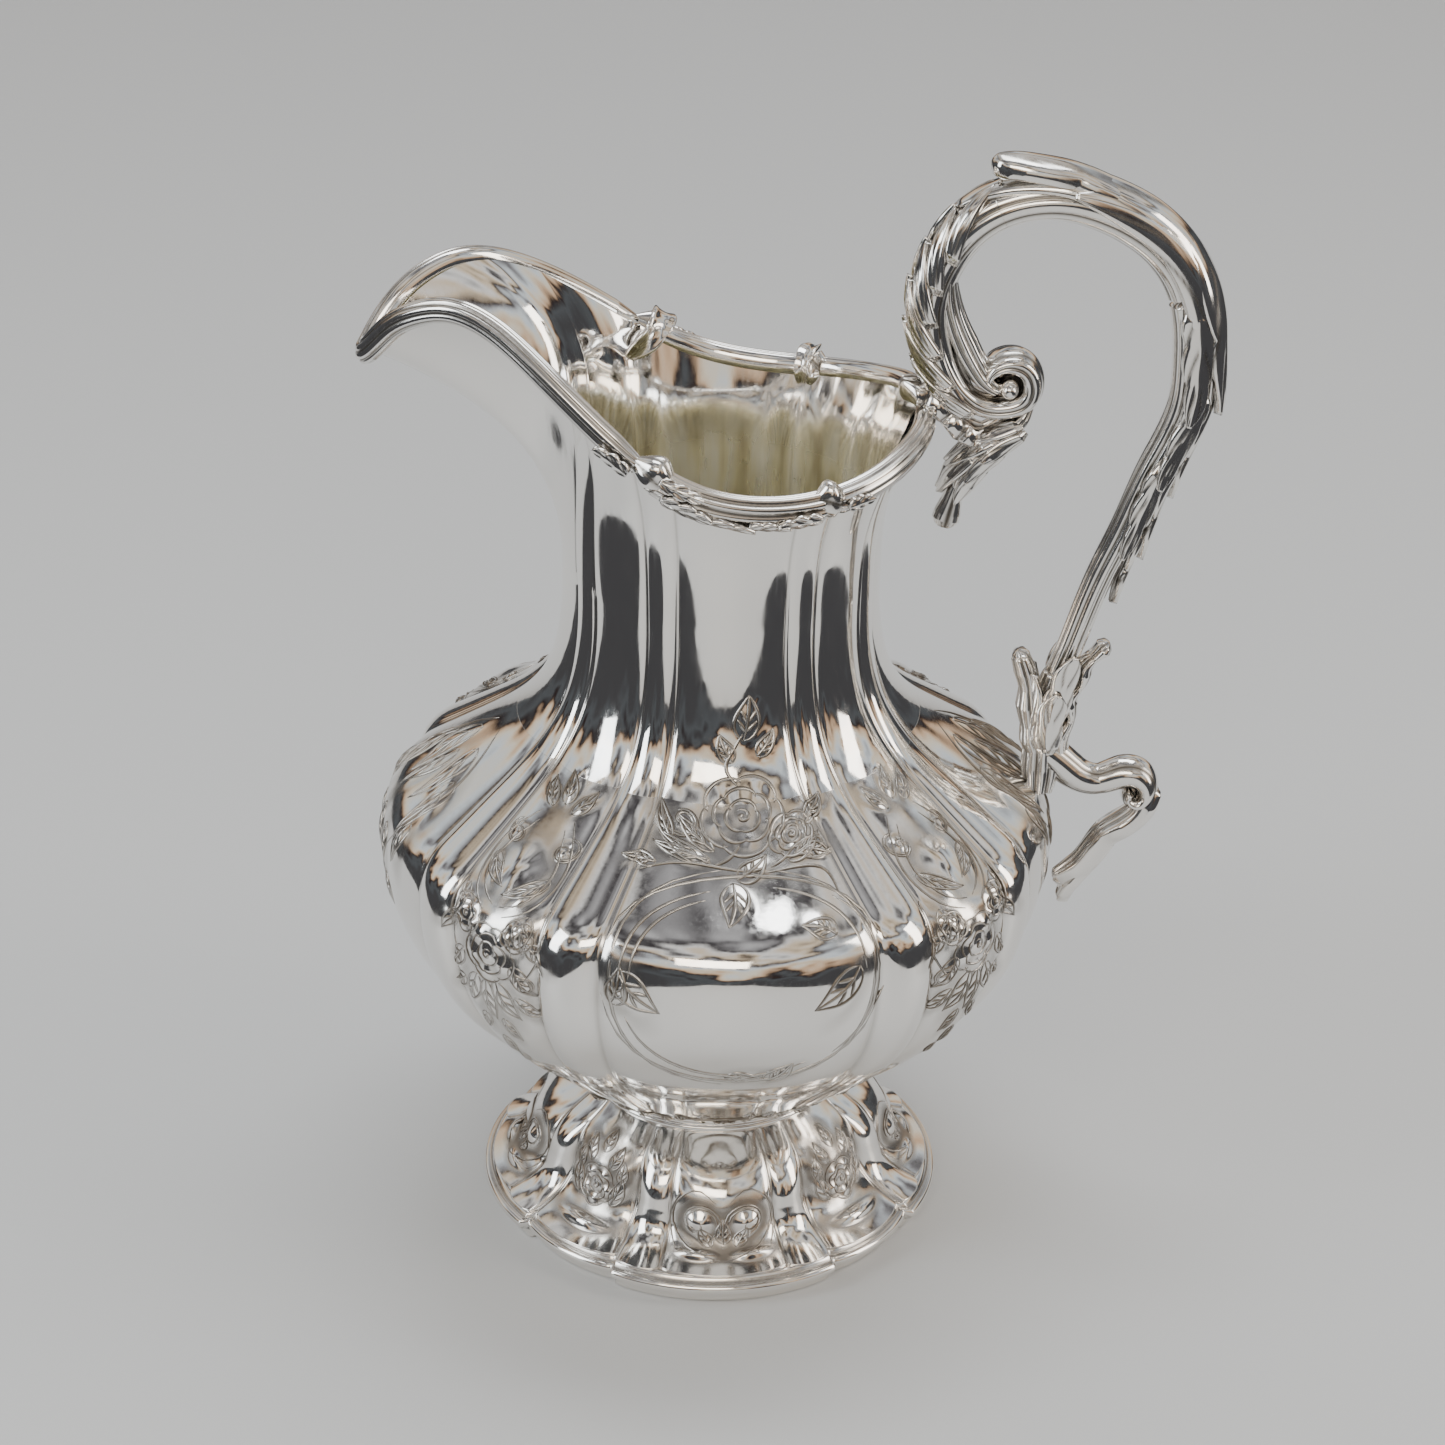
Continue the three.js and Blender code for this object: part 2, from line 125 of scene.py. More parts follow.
def make_solid(name, rings, recess, inside=None, looped=False):
    """Closed mesh from rings, an array of ring, point and x, y, z in millimetres. Quads join
    each ring to the next. A looped stack joins its last ring to its first, and otherwise a
    fan closes each end, and faces that would point inwards are turned round. recess and inside
    are per-point marks for the material. A leading axis holds separate pieces."""
    rings = np.asarray(rings, float)
    if rings.ndim == 3:
        rings = rings[None]
    pieces, rows, around = rings.shape[:3]
    index = np.arange(rows * around).reshape(rows, around)
    upper = np.roll(index, -1, 0) if looped else index[1:]
    lower = index if looped else index[:-1]
    quads = np.stack([lower, np.roll(lower, -1, 1), np.roll(upper, -1, 1), upper], -1).reshape(-1, 4)
    points = rings.reshape(pieces, -1, 3)
    tris = np.zeros((0, 3), int)
    if not looped:
        middles = np.stack([rings[:, 0].mean(1), rings[:, -1].mean(1)], 1)
        points = np.concatenate([points, middles], 1)
        first, last = rows * around, rows * around + 1
        bottom = np.stack([np.roll(index[0], -1), index[0], np.full(around, first)], -1)
        top = np.stack([index[-1], np.roll(index[-1], -1), np.full(around, last)], -1)
        tris = np.concatenate([bottom, top])
    each = points.shape[1]
    step = np.arange(pieces)[:, None, None] * each
    quads = (quads[None] + step).reshape(-1, 4)
    tris = (tris[None] + step).reshape(-1, 3)
    points = points.reshape(-1, 3) * MM
    a, b, c, d = (points[quads[:, k]] for k in range(4))
    if np.einsum("ij,ij->i", a, np.cross(b, c) + np.cross(c, d)).sum() < 0:
        quads, tris = quads[:, ::-1], tris[:, ::-1]
    points[:, 0] += AXIS_X
    mesh = bpy.data.meshes.new(name)
    mesh.vertices.add(len(points))
    mesh.vertices.foreach_set("co", points.ravel())
    corners = np.concatenate([quads.ravel(), tris.ravel()])
    sizes = np.concatenate([np.full(len(quads), 4), np.full(len(tris), 3)])
    mesh.loops.add(len(corners))
    mesh.loops.foreach_set("vertex_index", corners)
    mesh.polygons.add(len(sizes))
    mesh.polygons.foreach_set("loop_start", np.concatenate([[0], np.cumsum(sizes)[:-1]]))
    mesh.polygons.foreach_set("loop_total", sizes)
    mesh.polygons.foreach_set("use_smooth", np.ones(len(sizes), bool))
    mesh.update(calc_edges=True)
    mesh.validate()
    for label, values in (("recess", recess), ("inside", inside)):
        if values is None:
            continue
        full = np.broadcast_to(values, rings.shape[:-1]).reshape(pieces, -1)
        if not looped:
            full = np.concatenate([full, full[:, :1], full[:, -1:]], 1)
        layer = mesh.attributes.new(label, "FLOAT", "POINT")
        layer.data.foreach_set("value", full.ravel().astype(np.float32))
    piece = bpy.data.objects.new(name, mesh)
    bpy.context.scene.collection.objects.link(piece)
    return piece


def finish_piece(piece, material, *nodes):
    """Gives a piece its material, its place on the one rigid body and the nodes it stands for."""
    piece.data.materials.append(material)
    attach(piece, "root")
    if nodes:
        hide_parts(*nodes)


def fill_ramp(node, stops):
    """Sets a colour ramp's stops from pairs of position and colour."""
    elements = node.color_ramp.elements
    while len(elements) < len(stops):
        elements.new(0.5)
    for element, (position, colour) in zip(elements, stops):
        element.position = position
        element.color = (*colour, 1)


def silver(name, colour, roughness, shade_oxide_colour, wave=0.3):
    """Polished silver. Colour and roughness go from the bright metal to the dark recesses by
    the piece's own recess mark, and to the yellowed, satin inside by its inside mark. The dark
    colour is painted shade mixed with the oxide of the hollows, and the lighter upright
    streaks of the inside are painted highlights. Slow noise bends the reflections as
    planishing does, and stretched noise gives fine scratches."""
    material = bpy.data.materials.new(name)
    material.use_nodes = True
    nodes, links = material.node_tree.nodes, material.node_tree.links
    shader = nodes["Principled BSDF"]
    place = nodes.new("ShaderNodeTexCoord")

    def noise(scale, detail, stretch=None):
        """Noise on the piece, drawn out along its height where stretch is below 1."""
        texture = nodes.new("ShaderNodeTexNoise")
        texture.inputs["Scale"].default_value = scale
        texture.inputs["Detail"].default_value = detail
        source = place.outputs["Object"]
        if stretch:
            mapping = nodes.new("ShaderNodeMapping")
            mapping.inputs["Scale"].default_value = (1, 1, stretch)
            links.new(source, mapping.inputs["Vector"])
            source = mapping.outputs["Vector"]
        links.new(source, texture.inputs["Vector"])
        return texture.outputs["Fac"]

    def ramp(source, stops):
        """Colour read from the stops by the source's value."""
        node = nodes.new("ShaderNodeValToRGB")
        fill_ramp(node, stops)
        links.new(source, node.inputs["Fac"])
        return node.outputs["Color"]

    def mixed(factor, a, b):
        """(1 - factor) a + factor b."""
        node = nodes.new("ShaderNodeMix")
        node.data_type = "RGBA"
        for socket, value in ((6, a), (7, b)):
            if isinstance(value, tuple):
                node.inputs[socket].default_value = (*value, 1)
            else:
                links.new(value, node.inputs[socket])
        links.new(factor, node.inputs[0])
        return node.outputs[2]

    def grey(value):
        return (value, value, value)

    def mark(label):
        node = nodes.new("ShaderNodeAttribute")
        node.attribute_name = label
        return node.outputs["Fac"]

    def bumped(height, distance, strength, under=None):
        """Normal tilted by the slope of height times distance, on top of another bump."""
        node = nodes.new("ShaderNodeBump")
        node.inputs["Distance"].default_value = distance
        node.inputs["Strength"].default_value = strength
        links.new(height, node.inputs["Height"])
        if under:
            links.new(under, node.inputs["Normal"])
        return node.outputs["Normal"]

    recess, inner = mark("recess"), mark("inside")
    streaks = noise(900, 3, 0.12)
    bright = ramp(noise(38, 2), [(0.3, tuple(c * 0.965 for c in colour)), (0.7, colour)])
    # painted shade of the recesses, creases and undersides, mixed with the oxide that gathers in hollows
    shade_oxide = ramp(noise(420, 4), [(0.35, tuple(c * 0.6 for c in shade_oxide_colour)), (0.65, shade_oxide_colour)])
    # gilt inside; its lighter upright streaks are painted highlights
    yellow = ramp(noise(160, 3, 0.16), [
        (0.36, (0.58, 0.52, 0.34)), (0.5, (0.92, 0.88, 0.66)), (0.62, (1.0, 0.99, 0.88))])
    links.new(mixed(inner, mixed(recess, bright, shade_oxide), yellow), shader.inputs["Base Color"])
    links.new(ramp(inner, [(0.0, grey(1.0)), (1.0, grey(0.7))]), shader.inputs["Metallic"])
    satin = ramp(streaks, [(0.35, grey(roughness)), (0.75, grey(roughness + 0.09))])
    dull = ramp(noise(230, 2, 0.12), [(0.4, grey(0.16)), (0.6, grey(0.34))])
    links.new(mixed(inner, mixed(recess, satin, grey(0.42)), dull), shader.inputs["Roughness"])
    slow = bumped(noise(52, 1.5), 0.00022, wave)
    links.new(bumped(streaks, 0.00002, 0.25, slow), shader.inputs["Normal"])
    return material


# the last colour is the painted shade, mixed with oxide, of the recesses
raised_silver = silver("raised_silver", (0.91, 0.89, 0.86), 0.045, (0.20, 0.17, 0.135))

BODY_STEPS = (58, 22, 38, 22)
body_angles = panel_angles(WIDE, RIB, BODY_STEPS)
body_swell = swell(body_angles, WIDE, RIB)
# Outline of bowl and neck root as one flowing line, from the foot's collar upwards.
body_line = spline([
    (29, 38.2), (37.5, 42), (53, 54.2), (66, 66.2), (75.3, 78.4), (80.7, 91.2), (82.3, 104),
    (80.4, 113.6), (73, 120.2), (61.5, 128), (49, 138), (42.6, 147), (39.4, 157), (38.1, 168),
    (38, 178)], 320)
NECK_SEAM = 138
seam_row = int(np.argmin(np.abs(body_line[:, 1] - NECK_SEAM)))


def body_crease(height):
    """Depth of the creases: it grows from the foot up to the widest part, and eases towards
    the neck and again towards the mouth."""
    deep = 2.7 * ease(height, 36, 58) - 0.9 * ease(height, 112, 138)
    return deep - 0.7 * ease(height, 168, 205)


def spread_at(height):
    """Degrees by which the wide panels spread: wider round the bowl, narrower up the neck."""
    return 3.2 - 4.2 * ease(height, 108, 148)


def laid_out(angles, spread):
    """Angles of the columns once the panels have spread and twisted: a + spread sin 4a + twist."""
    return angles + spread * np.sin(np.radians(4 * angles)) + TWIST


class Skin:
    """Wall of a panelled body as a grid, with its radius and its distance along the outline."""

    def __init__(self, line, angles, folds, spread):
        self.angles = angles
        self.spread = spread
        self.step = np.linalg.norm(np.diff(line, axis=0), axis=1).mean()
        self.radius, self.height = line.T
        self.grid = turned(laid_out(angles[None], spread), line[:, :1] - folds, line[:, 1:])

    def along(self, height):
        """Distance along the outline at a height."""
        return np.interp(height, self.height, self.step * np.arange(len(self.height)))

    def emboss(self, bumps):
        """Pushes bumps out of the wall and marks the ground beside them as shade. Each is panel
        angle, distance across and along, half length, half width, heading and height, and its
        shape is height (1 - d^2)^2."""
        rows = self.step * np.arange(len(self.radius))[:, None]
        rise = np.zeros(self.grid.shape[:2])
        near = np.zeros(self.grid.shape[:2])
        for panel, across, along, long_half, wide_half, heading, height in bumps:
            turn = (laid_out(self.angles[None], self.spread) - TWIST - panel + 180) % 360 - 180
            u = np.radians(turn) * self.radius[:, None] - across
            w = rows - along
            s, c = np.sin(np.radians(heading)), np.cos(np.radians(heading))
            d = ((u * s + w * c) / long_half) ** 2 + ((u * c - w * s) / wide_half) ** 2
            rise += height * np.clip(1 - d, 0, 1) ** 2
            if max(long_half, wide_half) < 12:
                near += np.clip(1 - d / 2.6, 0, 1)
        self.grid = self.grid + rise[..., None] * normals(self.grid)
        self.normals = normals(self.grid)
        self.shade = np.clip(near, 0, 1) * np.exp(-((rise / 0.32) ** 2))

    def at(self, panel, across, along):
        """Point and normal at a place on a panel, read between the four nearest grid points."""
        row = np.clip(along / self.step, 0, len(self.radius) - 1.001)
        radius = np.interp(row, np.arange(len(self.radius)), self.radius)
        spread = np.interp(row, np.arange(len(self.radius)), self.spread[:, 0])
        place = panel + np.degrees(across / radius)
        angle = place - spread * np.sin(np.radians(4 * (place - spread * np.sin(np.radians(4 * place)))))
        angle = (angle - self.angles[0]) % 360 + self.angles[0]
        count = len(self.angles)
        column = np.interp(angle, np.append(self.angles, self.angles[0] + 360), np.arange(count + 1))
        i, j = row.astype(int), column.astype(int) % count
        fi, fj = (row - i)[..., None], (column - np.floor(column))[..., None]
        k = (j + 1) % count

        def read(table):
            return ((1 - fi) * ((1 - fj) * table[i, j] + fj * table[i, k])
                    + fi * ((1 - fj) * table[i + 1, j] + fj * table[i + 1, k]))
        return read(self.grid), read(self.normals)


STROKE = 16  # points along each chased stroke


def leaf_lines(x, y, length, width, heading, bend):
    """Outline, midrib and veins of a pointed leaf on a bent middle line: the outline stands off
    by width sin(pi t^0.7), and veins run from the midrib towards the edge."""
    t = np.linspace(0, 1, STROKE)
    h = np.radians(heading)
    stand = width * np.sin(np.pi * t**0.7)
    middle = np.stack([bend * length * t * t, length * t], -1)
    flow = np.gradient(middle, axis=0)
    flow /= np.linalg.norm(flow, axis=1, keepdims=True)
    side = np.stack([flow[:, 1], -flow[:, 0]], -1)
    lines = [middle + side * stand[:, None], middle - side * stand[:, None], middle]
    for start, sign in ((0.2, 1), (0.2, -1), (0.42, 1), (0.42, -1)):
        at = start + 0.26 * t
        place = np.stack([np.interp(at, t, middle[:, c]) for c in (0, 1)], -1)
        across = np.stack([np.interp(at, t, side[:, c]) for c in (0, 1)], -1)
        lines.append(place + across * (sign * 0.8 * t * np.interp(at, t, stand))[:, None])
    lines = np.stack(lines)
    turn = np.array([[np.cos(h), -np.sin(h)], [np.sin(h), np.cos(h)]])
    return lines @ turn + np.array([x, y])


def rose_lines(x, y, radius, petals, turn):
    """Rings of petals: arcs whose radius swells as 0.84 + 0.2 sqrt(sin), with cusps between them,
    round a small curl in the middle."""
    t = np.linspace(0, 1, STROKE)
    lines = []
    for ring, (share, count) in enumerate(((1, petals), (0.68, petals), (0.4, 3))):
        for k in range(count):
            a = 2 * np.pi * (k + 1.12 * t - 0.06 + 0.5 * ring) / count + turn
            r = radius * share * (0.84 + 0.2 * np.sqrt(np.sin(np.pi * t)))
            lines.append(np.stack([r * np.cos(a), r * np.sin(a)], -1))
    a = 2 * np.pi * 1.3 * t + turn
    lines.append(np.stack([0.2 * radius * t * np.cos(a), 0.2 * radius * t * np.sin(a)], -1))
    return np.stack(lines) + np.array([x, y])


def curl_lines(x, y, radius, start, turns):
    """Spiral winding in from radius to a tenth of it, as a single line and a shorter echo."""
    t = np.linspace(0, 1, STROKE)
    a = np.radians(start) + 2 * np.pi * turns * t
    one = np.stack([np.cos(a), np.sin(a)], -1) * (radius * (1 - 0.9 * t))[:, None]
    two = np.stack([np.cos(a[0] + 0.6 * (a - a[0])), np.sin(a[0] + 0.6 * (a - a[0]))], -1)
    return np.stack([one, two * (radius * (1.14 - 0.5 * t))[:, None]]) + np.array([x, y])


def leafwork(skin, panel, flip, leaves, roses, curls, lines, relief):
    """Lines and bumps for one panel's ornament. Places are given as distance across and height,
    and headings in degrees from straight up towards the right. flip mirrors it."""
    drawn, bumps = [], []
    for x, z, length, width, heading, bend in leaves:
        y = skin.along(z)
        drawn.append(leaf_lines(x, y, length, width, heading, bend))
        h = np.radians(heading)
        bumps.append((x + 0.5 * length * np.sin(h), y + 0.5 * length * np.cos(h),
                      0.62 * length, 1.3 * width, heading, 0.6 * relief * min(width / 2.5, 1.3)))
    for x, z, radius, petals in roses:
        y = skin.along(z)
        drawn.append(rose_lines(x, y, radius, petals, 0.4))
        bumps.append((x, y, 0.5 * radius, 0.5 * radius, 0, 0.4 * relief))
        for k in range(petals):
            a = 2 * np.pi * (k + 0.5) / petals + 0.4
            bumps.append((x + 0.66 * radius * np.cos(a), y + 0.66 * radius * np.sin(a),
                          0.42 * radius, 0.42 * radius, 0, 0.5 * relief))
    for x, z, radius, start, turns in curls:
        drawn.append(curl_lines(x, skin.along(z), radius, start, turns))
        bumps.append((x, skin.along(z), 0.8 * radius, 0.8 * radius, 0, 0.4 * relief))
    for points in lines:
        drawn.append(spline([(x, skin.along(z)) for x, z in points], STROKE)[None])
    drawn = np.concatenate(drawn)
    drawn[..., 0] *= flip
    bumps = [(panel, flip * x, y, long_half, wide_half, flip * h, up)
             for x, y, long_half, wide_half, h, up in bumps]
    return (np.full(len(drawn), panel, float), drawn), bumps


def chased_lines(name, skin, work, width, proud):
    """Thin raised strips along the lines: a five-sided section on the wall, width sqrt(sin) so
    that both ends run out to nothing, with painted shade darker down the flanks than along the crest."""
    panel = np.concatenate([one[0] for one in work])[:, None]
    places = np.concatenate([one[1] for one in work])
    point, normal = skin.at(panel, places[..., 0], places[..., 1])
    run = np.gradient(point, axis=1)
    run /= np.linalg.norm(run, axis=-1, keepdims=True)
    side = np.cross(normal, run)
    taper = np.sqrt(np.clip(np.sin(np.pi * np.linspace(0.02, 0.98, STROKE)), 0.04, 1))[None, :, None]
    section = np.array([(-1, -0.4), (-0.7, 0.6), (-0.1, 1), (0.5, 0.75), (1, -0.4)])
    rings = (point[:, :, None] + (width * taper * section[:, 0])[..., None] * side[:, :, None]
             + (proud * taper * section[:, 1])[..., None] * normal[:, :, None])
    # painted shade across the section: dark on the flanks, lighter on the crest
    return make_solid(name, rings, np.array([1.0, 1.0, 0.7, 0.4, 0.9]))


body = Skin(body_line, body_angles, body_crease(body_line[:, 1:]) * (1 - body_swell)[None],
            spread_at(body_line[:, 1:]))
cartouche_middle = body.along(107)

# front and back: an oval of two vines with buds crossing it, and a rose spray above
FRONT_LEAVES = [
    (-1, 126, 11, 3.2, 168, 0.35), (0, 126.5, 9, 2.5, 66, -0.3), (29, 110, 14, 3.4, 214, 0.35),
    (23, 117, 9, 2.5, -50, -0.3), (-29, 110, 13, 3.6, 150, -0.35), (-31, 101, 10, 2.9, 30, -0.3),
    (-3, 80.5, 8.5, 2.2, 80, 0.3), (6, 79, 9, 2.4, 64, -0.3),
    (-6, 128.8, 14, 1.9, -68, 0.15), (-6, 129.4, 14, 1.8, -84, 0.12), (-5, 130.6, 12, 1.8, -52, 0.15),
    (-15, 132, 9, 1.7, -30, 0.3), (12, 128.8, 10, 2.0, 70, -0.2), (15, 129.8, 9, 1.8, 96, 0.2),
    (2.6, 150.5, 11, 3.0, 14, -0.12), (0.2, 146, 7, 1.9, -42, 0.3), (5.8, 147, 7, 1.8, 52, -0.3),
    (17, 133.5, 8, 1.8, 44, -0.3), (-19, 128.2, 8, 1.7, -96, 0.25)]
FRONT_ROSES = [(2, 136, 9.6, 5), (13.5, 132.4, 5.4, 5)]
FRONT_CURLS = [(-12, 135, 3.8, 200, 1.3), (20, 130, 3.4, -20, -1.3)]
FRONT_LINES = [
    [(1.5, 141), (-1.5, 145), (0.5, 149), (2.4, 152)], [(-24, 126.4), (-14, 128.6), (-3, 128.2), (6, 127.2)],
    [(6, 127.2), (14, 127.6), (21, 126.6), (25, 122)], [(-6, 128.4), (-2, 129.4), (1, 131.5)],
    [(8, 128), (11, 129), (13, 130)]]
for half_wide, half_tall, start, stop in (
        (35, 29, 8, 172), (35, 29, 188, 352), (32.5, 31, 98, 262), (32.5, 31, -78, 80),
        (30, 26.5, 4, 76), (30, 26.5, 200, 300), (30, 26, 104, 186), (27.5, 24, 108, 176),
        (33.8, 27.6, -50, 50)):
    a = np.radians(np.linspace(start, stop, 9))
    oval = np.stack([1 + half_wide * np.cos(a), cartouche_middle + half_tall * np.sin(a)], -1)
    FRONT_LINES.append([(x, np.interp(y, body.along(body.height), body.height)) for x, y in oval])

# between: scrolls round a plain boss, an open rose at the widest part and leaves below it
SPRAY_LEAVES = [
    (0, 133, 9, 2.0, 8, 0.2), (-3, 132, 8, 1.8, -34, 0.2), (3, 132, 8, 1.8, 42, -0.2),
    (-9, 122, 11, 2.0, 150, -0.4), (9, 123, 10, 2.0, 205, 0.4), (-10, 116, 9, 2.2, 165, 0.3),
    (11, 117, 10, 2.2, 188, -0.3), (-8, 104, 9, 2.1, 200, 0.3), (8, 103, 9, 2.1, 158, -0.3),
    (-3, 98.5, 12, 2.4, 196, 0.2), (3, 98, 12, 2.4, 165, -0.2), (0, 97.5, 13, 2.2, 180, 0.05),
    (-8, 95, 8, 1.8, 222, 0.2), (8, 94.5, 8, 1.8, 138, -0.2), (-3, 86.5, 8, 1.6, 190, 0.2),
    (3, 86, 8, 1.6, 170, -0.2), (0, 79, 8, 1.5, 178, 0.1), (-1.5, 73, 5, 1.1, 186, 0),
    (11, 110, 8, 1.8, 120, 0.3), (-11, 110, 8, 1.8, -120, -0.3)]
SPRAY_ROSES = [(-1, 105, 7.4, 5), (7.5, 112, 4.6, 5), (-8.5, 111.5, 4.0, 5)]
SPRAY_CURLS = [(-7.5, 126.5, 3.4, 90, 1.4), (7.5, 126.5, 3.2, 90, -1.4), (-11, 99, 2.6, 0, 1.2),
               (11.5, 98, 2.6, 180, -1.2)]
SPRAY_LINES = [
    [(-5, 131), (-9.5, 126), (-11, 121), (-8, 116.5), (-3, 114.5)],
    [(5, 131), (9.5, 126.5), (11, 121.5), (8, 117), (3, 114.5)],
    [(-4, 129.5), (-7.5, 125), (-8.5, 121), (-6, 117.5), (-1, 116)],
    [(4, 129.5), (7.5, 125), (8.5, 121), (6, 118), (1, 116)],
    [(-13, 118), (-14.5, 110), (-12.5, 103), (-9, 98)], [(13.5, 118), (14.5, 110), (13, 103), (9, 97)]]

# at the spout and handle: long feathered leaves lying over the shoulder
FEATHER_LEAVES = [
    (-4, 131, 21, 3.2, 204, -0.4), (5, 130, 20, 3.2, 152, 0.4), (-12, 126, 19, 3.0, 206, -0.45),
    (13, 125, 18, 3.0, 150, 0.45), (0, 127, 18, 3.0, 181, 0.1), (-18, 118, 13, 2.5, 196, -0.4),
    (18, 117, 12, 2.5, 164, 0.4), (0, 113, 14, 2.7, 180, 0), (-8, 112, 12, 2.4, 194, -0.3),
    (8, 112, 12, 2.4, 166, 0.3), (0, 99, 11, 2.0, 180, 0), (-10, 100, 9, 1.8, 190, 0.2),
    (10, 100, 9, 1.8, 170, -0.2)]
FEATHER_LINES = [
    [(side * 3, 134), (side * 10, 129.5), (side * 16, 123), (side * 17, 115), (side * 12, 108)]
    for side in (-1, 1)]


def both_sides(leaves=(), curls=(), lines=()):
    """Leaves, curls and lines together with their mirror images across the panel's middle."""
    return ([(side * x, z, length, width, side * heading, side * bend)
             for x, z, length, width, heading, bend in leaves for side in (1, -1)],
            [(side * x, z, radius, start if side > 0 else 180 - start, side * turns)
             for x, z, radius, start, turns in curls for side in (1, -1)],
            [[(side * x, z) for x, z in points] for points in lines for side in (1, -1)])


# round the foot of the bowl: a small oval with a rose on the wide panels and leaf points between
BASE_ROSES = [(0, 46, 3.4, 5)]
BASE_LEAVES, BASE_CURLS, _ = both_sides(
    [(9, 47, 6, 1.5, 50, -0.3), (5, 50, 5, 1.3, 20, -0.2), (13, 44, 5, 1.3, 70, 0)],
    [(-5.4, 44.5, 2.2, 0, 1.3)])
BASE_LINES = []
for half_wide, half_tall in ((15, 4.6), (12.6, 3.6), (7.6, 2.6)):
    for start in (4, 184):
        a = np.radians(np.linspace(start, start + 172, 7))
        BASE_LINES.append([(half_wide * np.cos(b), 44.6 + half_tall * np.sin(b)) for b in a])
TIP_LEAVES = [(0, 43, 8, 2.0, 0, 0)] + both_sides([(4, 42, 6, 1.6, 24, -0.1)])[0]

body_work, body_bumps = [], []
layouts = [(panel, 1, FRONT_LEAVES, FRONT_ROSES, FRONT_CURLS, FRONT_LINES, 0.8) for panel in (0, 180)]
layouts += [(panel, flip, SPRAY_LEAVES, SPRAY_ROSES, SPRAY_CURLS, SPRAY_LINES, 1.5)
            for panel, flip in ((45, 1), (135, -1), (225, 1), (315, -1))]
layouts += [(panel, 1, FEATHER_LEAVES, [], [], FEATHER_LINES, 0.9) for panel in (90, 270)]
layouts += [(panel, 1, BASE_LEAVES, BASE_ROSES, BASE_CURLS, BASE_LINES, 1.8) for panel in WIDE_PANELS]
layouts += [(panel + beside, 1, TIP_LEAVES, [], [], [], 2.2)
            for panel in MEDIUM_PANELS for beside in (-18, 0, 18)]
for panel, flip, leaves, roses, curls, lines, relief in layouts:
    work, bumps = leafwork(body, panel, flip, leaves, roses, curls, lines, relief)
    body_work.append(work)
    body_bumps += bumps
for panel in (0, 180):
    body_bumps.append((panel, 1, cartouche_middle, 31, 27, 90, 1.5))
for panel in MEDIUM_PANELS:
    body_bumps.append((panel, 0, body.along(122), 9, 7, 0, 1.0))
body.emboss(body_bumps)

BOWL_ROWS = 132
bowl_rows = np.linspace(0, seam_row, BOWL_ROWS).round().astype(int)
bowl_wall = body.grid[bowl_rows]
# painted shade, mixed with the oxide of the hollows: dark in the creases and on the ground round the raised
# ornament
bowl_shade = np.clip(0.35 * (1 - body_swell)[None] ** 6 + 0.42 * body.shade[bowl_rows], 0, 1)
bowl_inside_rows = np.linspace(BOWL_ROWS - 1, 0, 26).round().astype(int)
bowl_inside = bowl_wall[bowl_inside_rows] - SHEET * normals(bowl_wall)[bowl_inside_rows]
bowl_wall = np.insert(bowl_wall, BOWL_ROWS - 1, 0.03 * bowl_wall[-2] + 0.97 * bowl_wall[-1], axis=0)
bowl_rings = np.concatenate([bowl_wall, bowl_inside])
bowl = make_solid("bowl_raised", bowl_rings,
                  np.concatenate([bowl_shade, bowl_shade[-1:], 0 * bowl_inside[..., 0]]),
                  np.concatenate([0 * bowl_wall[..., 0], 1 + 0 * bowl_inside[..., 0]]))
finish_piece(bowl, raised_silver, "bowl")
for name, first, last, width in (("front_chasing", 0, 2, 0.6), ("spray_chasing", 2, 6, 0.42),
                                 ("feather_chasing", 6, 8, 0.5), ("base_chasing", 8, 24, 0.46)):
    finish_piece(chased_lines(name, body, body_work[first:last], width, 0.55 * width), raised_silver)

# ------------------------------------------------------------------ neck and spout
# The neck is raised from its own sheet and seamed to the bowl. Its panels run up into the
# mouth, which is drawn out on one side into a long, high-sided spout.

# Edge of the wall, from the spout's tip to the handle: degrees from the spout, radius, height.
half_rim = np.array([
    (0, 83.4, 231.3), (4.2, 78.8, 238.4), (8.5, 72.2, 244.8), (13.5, 65, 247.6), (19.5, 58.8, 246.4),
    (27, 54.2, 242.8), (36, 51, 237.8), (46, 48.6, 231.8), (57, 46.8, 225), (69, 45.2, 218.4),
    (84, 43.7, 213.2), (100, 43.1, 210.9), (116, 43.8, 210.8), (132, 45, 212.2), (148, 46, 214.6),
    (164, 46.9, 217.2), (180, 47.2, 218.2)])
SPOUT = -90
rim_points = np.concatenate([
    turned(SPOUT - half_rim[:0:-1, 0], half_rim[:0:-1, 1], half_rim[:0:-1, 2]),
    turned(SPOUT + half_rim[:, 0], half_rim[:, 1], half_rim[:, 2])])
rim_line = spline(rim_points, 2400)
rim_degrees = np.degrees(np.arctan2(rim_line[:, 0], -rim_line[:, 1]))
rim_degrees = np.unwrap(rim_degrees, period=360)
rim_degrees += 360 * np.round((SPOUT - rim_degrees[1200]) / 360)


def rim_at(angle):
    """Edge of the mouth at an angle: x, y and z of the smooth closed rim line."""
    a = (np.asarray(angle, float) - SPOUT + 180) % 360 + SPOUT - 180
    return np.stack([np.interp(a, rim_degrees, rim_line[:, c]) for c in range(3)], -1)


NECK_ROOT_ROWS, NECK_TOP_ROWS = 34, 70
root_index = seam_row + np.linspace(0, len(body_line) - 1 - seam_row, NECK_ROOT_ROWS).round().astype(int)
root_rows = body_line[root_index]
neck_angles = laid_out(body_angles, spread_at(200.0))
lip = rim_at(neck_angles)
lip_radius = np.hypot(lip[:, 0], lip[:, 1])
root_radius, root_height = body_line[-1]
